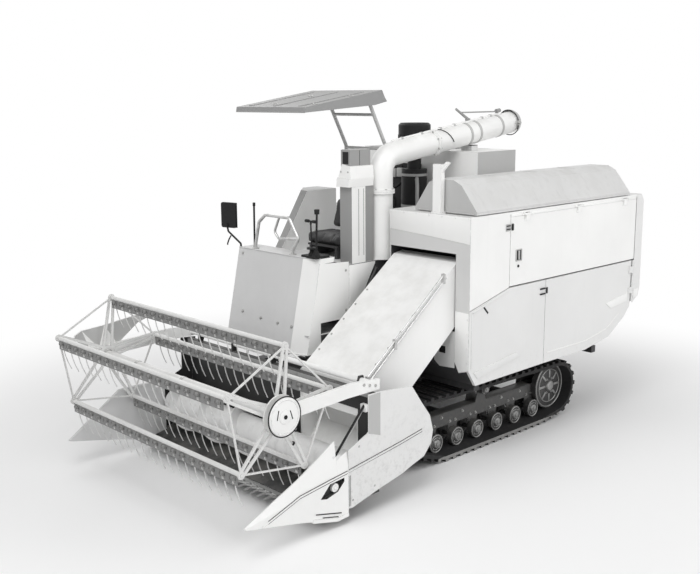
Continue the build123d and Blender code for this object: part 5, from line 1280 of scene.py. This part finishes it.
class COMBINE_OT_engine_bay(bpy.types.Operator):
    """Dark sheet in front of the tank as painted shade of the engine bay, coolant box, hoses and bracket, and
    the air cleaner's fittings
    """
    bl_idname = "combine.engine_bay"
    bl_label = "Engine bay"

    def execute(self, context):
        mesh = bmesh.new()
        # A near-black sheet with upright ribs across the tank's front: painted shade of the engine bay
        screen = [(-0.740, 1.565), (-0.285, 1.565), (-0.285, 2.262), (-0.740, 2.262)]
        add_sheet(mesh, screen, 1, 0.8645, 0.8610)
        for x in (-0.70, -0.52, -0.42):
            add_block(mesh, (x - 0.008, 0.852, 1.60), (x + 0.008, 0.861, 2.24), 0.002)
        new_piece("tank_front_shade_sheet", mesh, "plastic", "machine")
        mesh = bmesh.new()
        add_block(mesh, (-0.640, 0.828, 2.130), (-0.578, SHADE_SHEET_FACE, 2.208), 0.005)
        add_block(mesh, (-0.551, 0.818, 2.136), (-0.470, SHADE_SHEET_FACE, 2.218), 0.008)
        new_piece("coolant_box", mesh, "lamp", "machine")

        mesh = bmesh.new()
        for z in (1.64, 1.92, 2.19):
            add_band(mesh, (*AIR_CLEANER, z), (0, 0, 1), 0.1122, 0.022, 0.003, 40)
        add_band(mesh, (*AIR_CLEANER, 2.375), (0, 0, 1), 0.0602, 0.020, 0.004, 32)
        add_ring(mesh, (*AIR_CLEANER, 2.612), (0, 0, 1), 0.128, 0.006, 48, 8)
        new_piece("air_cleaner_bands", mesh, "shadow", "machine")
        mesh = bmesh.new()
        for i in range(20):
            a = math.tau * i / 20
            turn = Matrix.Rotation(a, 4, "Z")
            middle = Vector((*AIR_CLEANER, 2.475)) + turn @ Vector((0.1415, 0, 0))
            half = Vector((0.0025, 0.006, 0.060))
            add_block(mesh, middle - half, middle + half, 0.001, turn)
        new_piece("air_cleaner_louvres", mesh, "plastic", "machine")
        for i, (x, y) in enumerate(((-0.330, 0.720), (-0.400, 0.790), (-0.455, 0.700))):
            path = [(x, y, BAY_FEET), (x, y, 1.80 + 0.07 * i), (x - 0.05, y, 1.88 + 0.07 * i),
                    (x - 0.06, 0.850, 2.00 + 0.04 * i), (x - 0.06, 0.8590, 2.02 + 0.04 * i)]
            swept(f"engine_hose_{i + 1}", path, 0.020 - 0.004 * i, "grip", "machine")
        mesh = bmesh.new()
        add_block(mesh, (-0.300, 0.742, BAY_FEET), (-0.286, 0.860, 2.255), 0.003)
        add_block(mesh, (-0.560, 0.620, BAY_FEET), (-0.300, 0.742, 1.700), 0.010)
        for z in (1.62, 1.75, 1.88, 2.01, 2.14):
            add_bolt(mesh, (-0.2858, 0.800, z), (1, 0, 0), 0.014)
        new_piece("engine_bay_bracket", mesh, "wheels", "machine")
        swept("air_cleaner_drain", [(-0.056, 0.560, 1.563), (-0.056, 0.560, 2.10), (-0.075, 0.575, 2.16),
                                    (-0.100, 0.600, 2.19)], 0.016, "shadow", "machine")
        return {"FINISHED"}


RAIL_Y = -0.762


class COMBINE_OT_cab_details(bpy.types.Operator):
    """Knobs, boots, rail feet, mirror, panel edges and console trim of the operator's place"""
    bl_idname = "combine.cab_details"
    bl_label = "Operator's place"

    def execute(self, context):
        mesh = bmesh.new()
        add_drum(mesh, (0.122, RAIL_Y, 2.003), (0, 0, 1), 0.0185, 0.038, 20, end_radius=0.0215, bevel=0.004)
        add_drum(mesh, (0.012, -0.764, 1.925), (1, 0, 0), 0.0125, 0.040, 16, bevel=0.003)
        add_drum(mesh, (0.096, -0.764, 1.925), (1, 0, 0), 0.0125, 0.040, 16, bevel=0.003)
        new_piece("lever_knobs", mesh, "grip", "machine")
        mesh = bmesh.new()
        for x, y in ((0.118, -0.770), (0.060, -0.760)):
            for i in range(4):
                add_ring(mesh, (x, y, 1.6655 + i * 0.010), (0, 0, 1), 0.026 - i * 0.0045, 0.0062, 24, 8)
        new_piece("lever_boots", mesh, "grip", "machine")

        mesh = bmesh.new()
        for x in (-0.640, -0.170):
            add_drum(mesh, (x, RAIL_Y, 1.6433), (0, 0, 1), 0.030, 0.005, 28, bevel=0.001)
            for dx in (-0.021, 0.021):
                add_bolt(mesh, (x + dx, RAIL_Y, 1.6459), (0, 0, 1), 0.010)
        add_drum(mesh, (-0.655, RAIL_Y, 1.6440), (0, 0, 1), 0.016, 0.006, 20, bevel=0.001)
        new_piece("rail_feet", mesh, "zinc", "machine")
        mesh = bmesh.new()
        add_drum(mesh, (-0.650, RAIL_Y, 2.002), (0.014, 0, 1), 0.0115, 0.030, 16, bevel=0.003)
        new_piece("pole_cap", mesh, "grip", "machine")

        turn = Matrix.Translation((-1.010, -0.750, 1.883)) @ Matrix.Rotation(math.radians(14), 4, "Z")
        mesh = bmesh.new()
        add_block(mesh, (-0.070, 0.0105, -0.099), (0.070, 0.0120, 0.099))
        bmesh.ops.transform(mesh, matrix=turn, verts=mesh.verts)
        new_piece("mirror_glass", mesh, "mirror", "machine")
        mesh = bmesh.new()
        for x0, x1, z0, z1 in ((-0.077, 0.077, 0.099, 0.106), (-0.077, 0.077, -0.106, -0.099),
                               (-0.077, -0.070, -0.106, 0.106), (0.070, 0.077, -0.106, 0.106)):
            add_block(mesh, (x0, 0.0105, z0), (x1, 0.0145, z1), 0.001)
        add_drum(mesh, (-0.02, -0.014, -0.085), (0, 1, 0), 0.017, 0.012, 16, bevel=0.002)
        bmesh.ops.transform(mesh, matrix=turn, verts=mesh.verts)
        new_piece("mirror_rim", mesh, "plastic", "machine")
        swept("mirror_hook", [(-0.951, -0.780, 1.716), (-0.951, -0.800, 1.690), (-0.965, -0.806, 1.655),
                              (-0.975, -0.800, 1.640)], 0.006, "plastic", "machine")

        for name, at, z, radius, kind in (("panel_top_edge", 1.64, 1.6385, 0.0055, "cab"),
                                          ("panel_low_edge", 0.905, 0.905, 0.006, "body")):
            front, corner = dash_y(at) - 0.001, dash_y(at) + 0.049
            swept(name, [(-0.806, front, z), (-0.004, front, z), (0.146, corner, z)], radius, kind, "machine")

        mesh = bmesh.new()
        for y in (-0.345, -0.290):
            add_block(mesh, (0.1503, y - 0.0016, 1.62), (0.1512, y + 0.0016, 2.150))
        add_block(mesh, (0.1403, -0.325, 2.335), (0.1412, -0.3215, 2.450))
        add_block(mesh, (0.060, -0.4312, 2.345), (0.125, -0.4300, 2.440))
        new_piece("console_seams", mesh, "plastic", "machine")
        mesh = bmesh.new()
        add_block(mesh, (0.046, -0.424, 2.4553), (0.134, -0.211, 2.4585), 0.001)
        for x, y in ((0.05, -0.4405), (0.13, -0.4405)):
            add_bolt(mesh, (x, y, 2.285), (0, -1, 0), 0.009)
        new_piece("console_trim", mesh, "grey", "machine")
        return {"FINISHED"}


class COMBINE_OT_canopy_details(bpy.types.Operator):
    """Ribs, front rim with painted shade, and clamps of the canopy"""
    bl_idname = "combine.canopy_details"
    bl_label = "Canopy details"

    def execute(self, context):
        slope = math.atan2(CANOPY_RISE, CANOPY_RUN)
        turn = Matrix.Rotation(slope, 4, "X")
        up = Vector((0, -math.sin(slope), math.cos(slope)))
        mesh = bmesh.new()
        for x in (-0.700, -0.395, -0.090):
            middle = Vector((x, -0.400, canopy_z(-0.400))) + up * 0.0008
            half = Vector((0.016, 0.340, 0.0022))
            add_block(mesh, middle - half, middle + half, 0.0018, turn)
        new_piece("canopy_ribs", mesh, "roof", "machine")
        mesh = bmesh.new()
        for x in (-0.500, -0.022):
            for y in (-0.640, -0.260):
                for dx in (-0.018, 0.018):
                    add_bolt(mesh, Vector((x + dx, y, canopy_z(y))) + up * 0.0005, up, 0.012)
        new_piece("canopy_bolts", mesh, "zinc", "machine")
        mesh = bmesh.new()
        for x in (-0.500, -0.022):
            for y in (-0.640, -0.260):
                middle = Vector((x, y, canopy_z(y))) - up * 0.0195
                add_band(mesh, middle, (0, math.cos(slope), math.sin(slope)), 0.0153, 0.024, 0.0025, 20)
        new_piece("canopy_clamps", mesh, "zinc", "machine")
        # Dark grey rod along the roof's front edge: the edge's thickness, darkened as painted shade under the
        # lip
        swept("canopy_front_rim_and_shade", [(-0.8165, -0.7885, 2.7475), (0.0265, -0.7885, 2.7475)], 0.0042,
              "shadow", "machine")
        return {"FINISHED"}


def make_floor(scene, studio):
    """A pale floor that turns white far out, so that no horizon shows."""
    mesh = bmesh.new()
    bmesh.ops.create_grid(mesh, x_segments=1, y_segments=1, size=60.0)
    data = bpy.data.meshes.new("studio_floor")
    mesh.to_mesh(data)
    mesh.free()
    floor = bpy.data.objects.new("studio_floor", data)
    scene.collection.objects.link(floor)
    material = bpy.data.materials.new("studio_floor")
    material.use_nodes = True
    tree = material.node_tree
    shader = tree.nodes["Principled BSDF"]
    shader.inputs["Base Color"].default_value = (*studio.floor, 1)
    shader.inputs["Roughness"].default_value = 0.9
    shader.inputs["Specular IOR Level"].default_value = 0.1
    place = tree.nodes.new("ShaderNodeTexCoord")
    reach = tree.nodes.new("ShaderNodeVectorMath")
    reach.operation = "LENGTH"
    tree.links.new(place.outputs["Object"], reach.inputs[0])
    far = ramp(tree, reach.outputs["Value"], 2.6, 5.6)
    path = tree.nodes.new("ShaderNodeLightPath")
    seen = math_node(tree, "MAXIMUM", path.outputs["Is Camera Ray"], path.outputs["Is Glossy Ray"])
    bright = tree.nodes.new("ShaderNodeEmission")
    bright.inputs["Strength"].default_value = 1.0
    mix = tree.nodes.new("ShaderNodeMixShader")
    tree.links.new(math_node(tree, "MULTIPLY", far, seen), mix.inputs[0])
    tree.links.new(shader.outputs[0], mix.inputs[1])
    tree.links.new(bright.outputs[0], mix.inputs[2])
    tree.links.new(mix.outputs[0], tree.nodes["Material Output"].inputs["Surface"])
    data.materials.append(material)


def make_sky(scene, studio):
    """Even light from all round, seen as plain white."""
    world = bpy.data.worlds.new("Studio sky")
    scene.world = world
    world.use_nodes = True
    tree = world.node_tree
    light = tree.nodes["Background"]
    light.inputs["Color"].default_value = (1, 1, 1, 1)
    light.inputs["Strength"].default_value = studio.sky
    white = tree.nodes.new("ShaderNodeBackground")
    white.inputs["Color"].default_value = (1, 1, 1, 1)
    white.inputs["Strength"].default_value = 1.0
    path = tree.nodes.new("ShaderNodeLightPath")
    seen = math_node(tree, "MAXIMUM", path.outputs["Is Camera Ray"],
                     math_node(tree, "MAXIMUM", path.outputs["Is Glossy Ray"],
                               path.outputs["Is Transmission Ray"]))
    mix = tree.nodes.new("ShaderNodeMixShader")
    tree.links.new(seen, mix.inputs[0])
    tree.links.new(light.outputs[0], mix.inputs[1])
    tree.links.new(white.outputs[0], mix.inputs[2])
    tree.links.new(mix.outputs[0], tree.nodes["World Output"].inputs["Surface"])


def make_lamps(scene, studio):
    """Three large soft lamps aimed at the machine."""
    for name, place, size, power in (("key_lamp", (3.0, -4.5, 7.5), 5.0, studio.key),
                                     ("fill_lamp", (7.0, 3.0, 4.0), 5.0, studio.key * 0.45),
                                     ("far_lamp", (-6.0, 1.0, 5.5), 5.0, studio.key * 0.25)):
        lamp = bpy.data.lights.new(name, "AREA")
        lamp.shape = "DISK"
        lamp.size = size
        lamp.energy = power
        holder = bpy.data.objects.new(name, lamp)
        holder.location = place
        holder.rotation_euler = (Vector((0, 0, 1.0)) - Vector(place)).to_track_quat("-Z", "Y").to_euler()
        scene.collection.objects.link(holder)


# The camera fitted to the photograph: its place, its turns in degrees, and its focal length in pixels
CAMERA_PLACE = (5.659, -5.683, 2.879)
PAN, TILT, ROLL = 46.443, 78.839, -0.355
FOCAL_PIXELS, PHOTO_WIDTH, SENSOR_WIDTH = 976.0, 700.0, 36.0


def make_camera(scene):
    """The camera at the photograph's viewpoint."""
    camera = bpy.data.cameras.new("photo_camera")
    camera.sensor_fit = "HORIZONTAL"
    camera.sensor_width = SENSOR_WIDTH
    camera.lens = FOCAL_PIXELS / PHOTO_WIDTH * SENSOR_WIDTH
    camera.clip_end = 200.0
    holder = bpy.data.objects.new("photo_camera", camera)
    turn = (Matrix.Rotation(math.radians(PAN), 4, "Z") @ Matrix.Rotation(math.radians(TILT), 4, "X")
            @ Matrix.Rotation(math.radians(ROLL), 4, "Z"))
    holder.matrix_world = Matrix.Translation(CAMERA_PLACE) @ turn
    scene.collection.objects.link(holder)
    scene.camera = holder
    scene.view_settings.view_transform = "Standard"


class COMBINE_OT_stage(bpy.types.Operator):
    """Floor, backdrop, soft lamps and the camera at the photograph's viewpoint"""
    bl_idname = "combine.stage"
    bl_label = "Studio"

    def execute(self, context):
        scene = context.scene
        make_floor(scene, scene.combine_studio)
        make_sky(scene, scene.combine_studio)
        make_lamps(scene, scene.combine_studio)
        make_camera(scene)
        return {"FINISHED"}


STEPS = (COMBINE_OT_finishes, COMBINE_OT_seat, COMBINE_OT_tine_springs, COMBINE_OT_fasteners,
         COMBINE_OT_body_sheets, COMBINE_OT_door_hardware, COMBINE_OT_running_gear,
         COMBINE_OT_reel_details, COMBINE_OT_header_details, COMBINE_OT_unloader_details,
         COMBINE_OT_engine_bay, COMBINE_OT_cab_details, COMBINE_OT_canopy_details, COMBINE_OT_stage)


class COMBINE_PT_panel(bpy.types.Panel):
    """Sizes, colours and steps of the combine"""
    bl_idname = "COMBINE_PT_panel"
    bl_label = "Rice combine"
    bl_space_type = "VIEW_3D"
    bl_region_type = "UI"
    bl_category = "Combine"

    def draw(self, context):
        for group, kind in SETTINGS:
            box = self.layout.box()
            settings = getattr(context.scene, group)
            for name in kind.__annotations__:
                box.prop(settings, name)
        for step in STEPS:
            self.layout.operator(step.bl_idname)


SETTINGS = (("combine_paint", CombinePaint), ("combine_fittings", CombineFittings),
            ("combine_studio", CombineStudio))


def register():
    for name, kind in SETTINGS:
        bpy.utils.register_class(kind)
        setattr(bpy.types.Scene, name, PointerProperty(type=kind))
    for step in STEPS:
        bpy.utils.register_class(step)
    bpy.utils.register_class(COMBINE_PT_panel)


def unregister():
    bpy.utils.unregister_class(COMBINE_PT_panel)
    for step in reversed(STEPS):
        bpy.utils.unregister_class(step)
    for name, kind in reversed(SETTINGS):
        delattr(bpy.types.Scene, name)
        bpy.utils.unregister_class(kind)


def main():
    register()
    for step in STEPS:
        group, name = step.bl_idname.split(".")
        getattr(getattr(bpy.ops, group), name)()


if __name__ == "__main__":
    main()
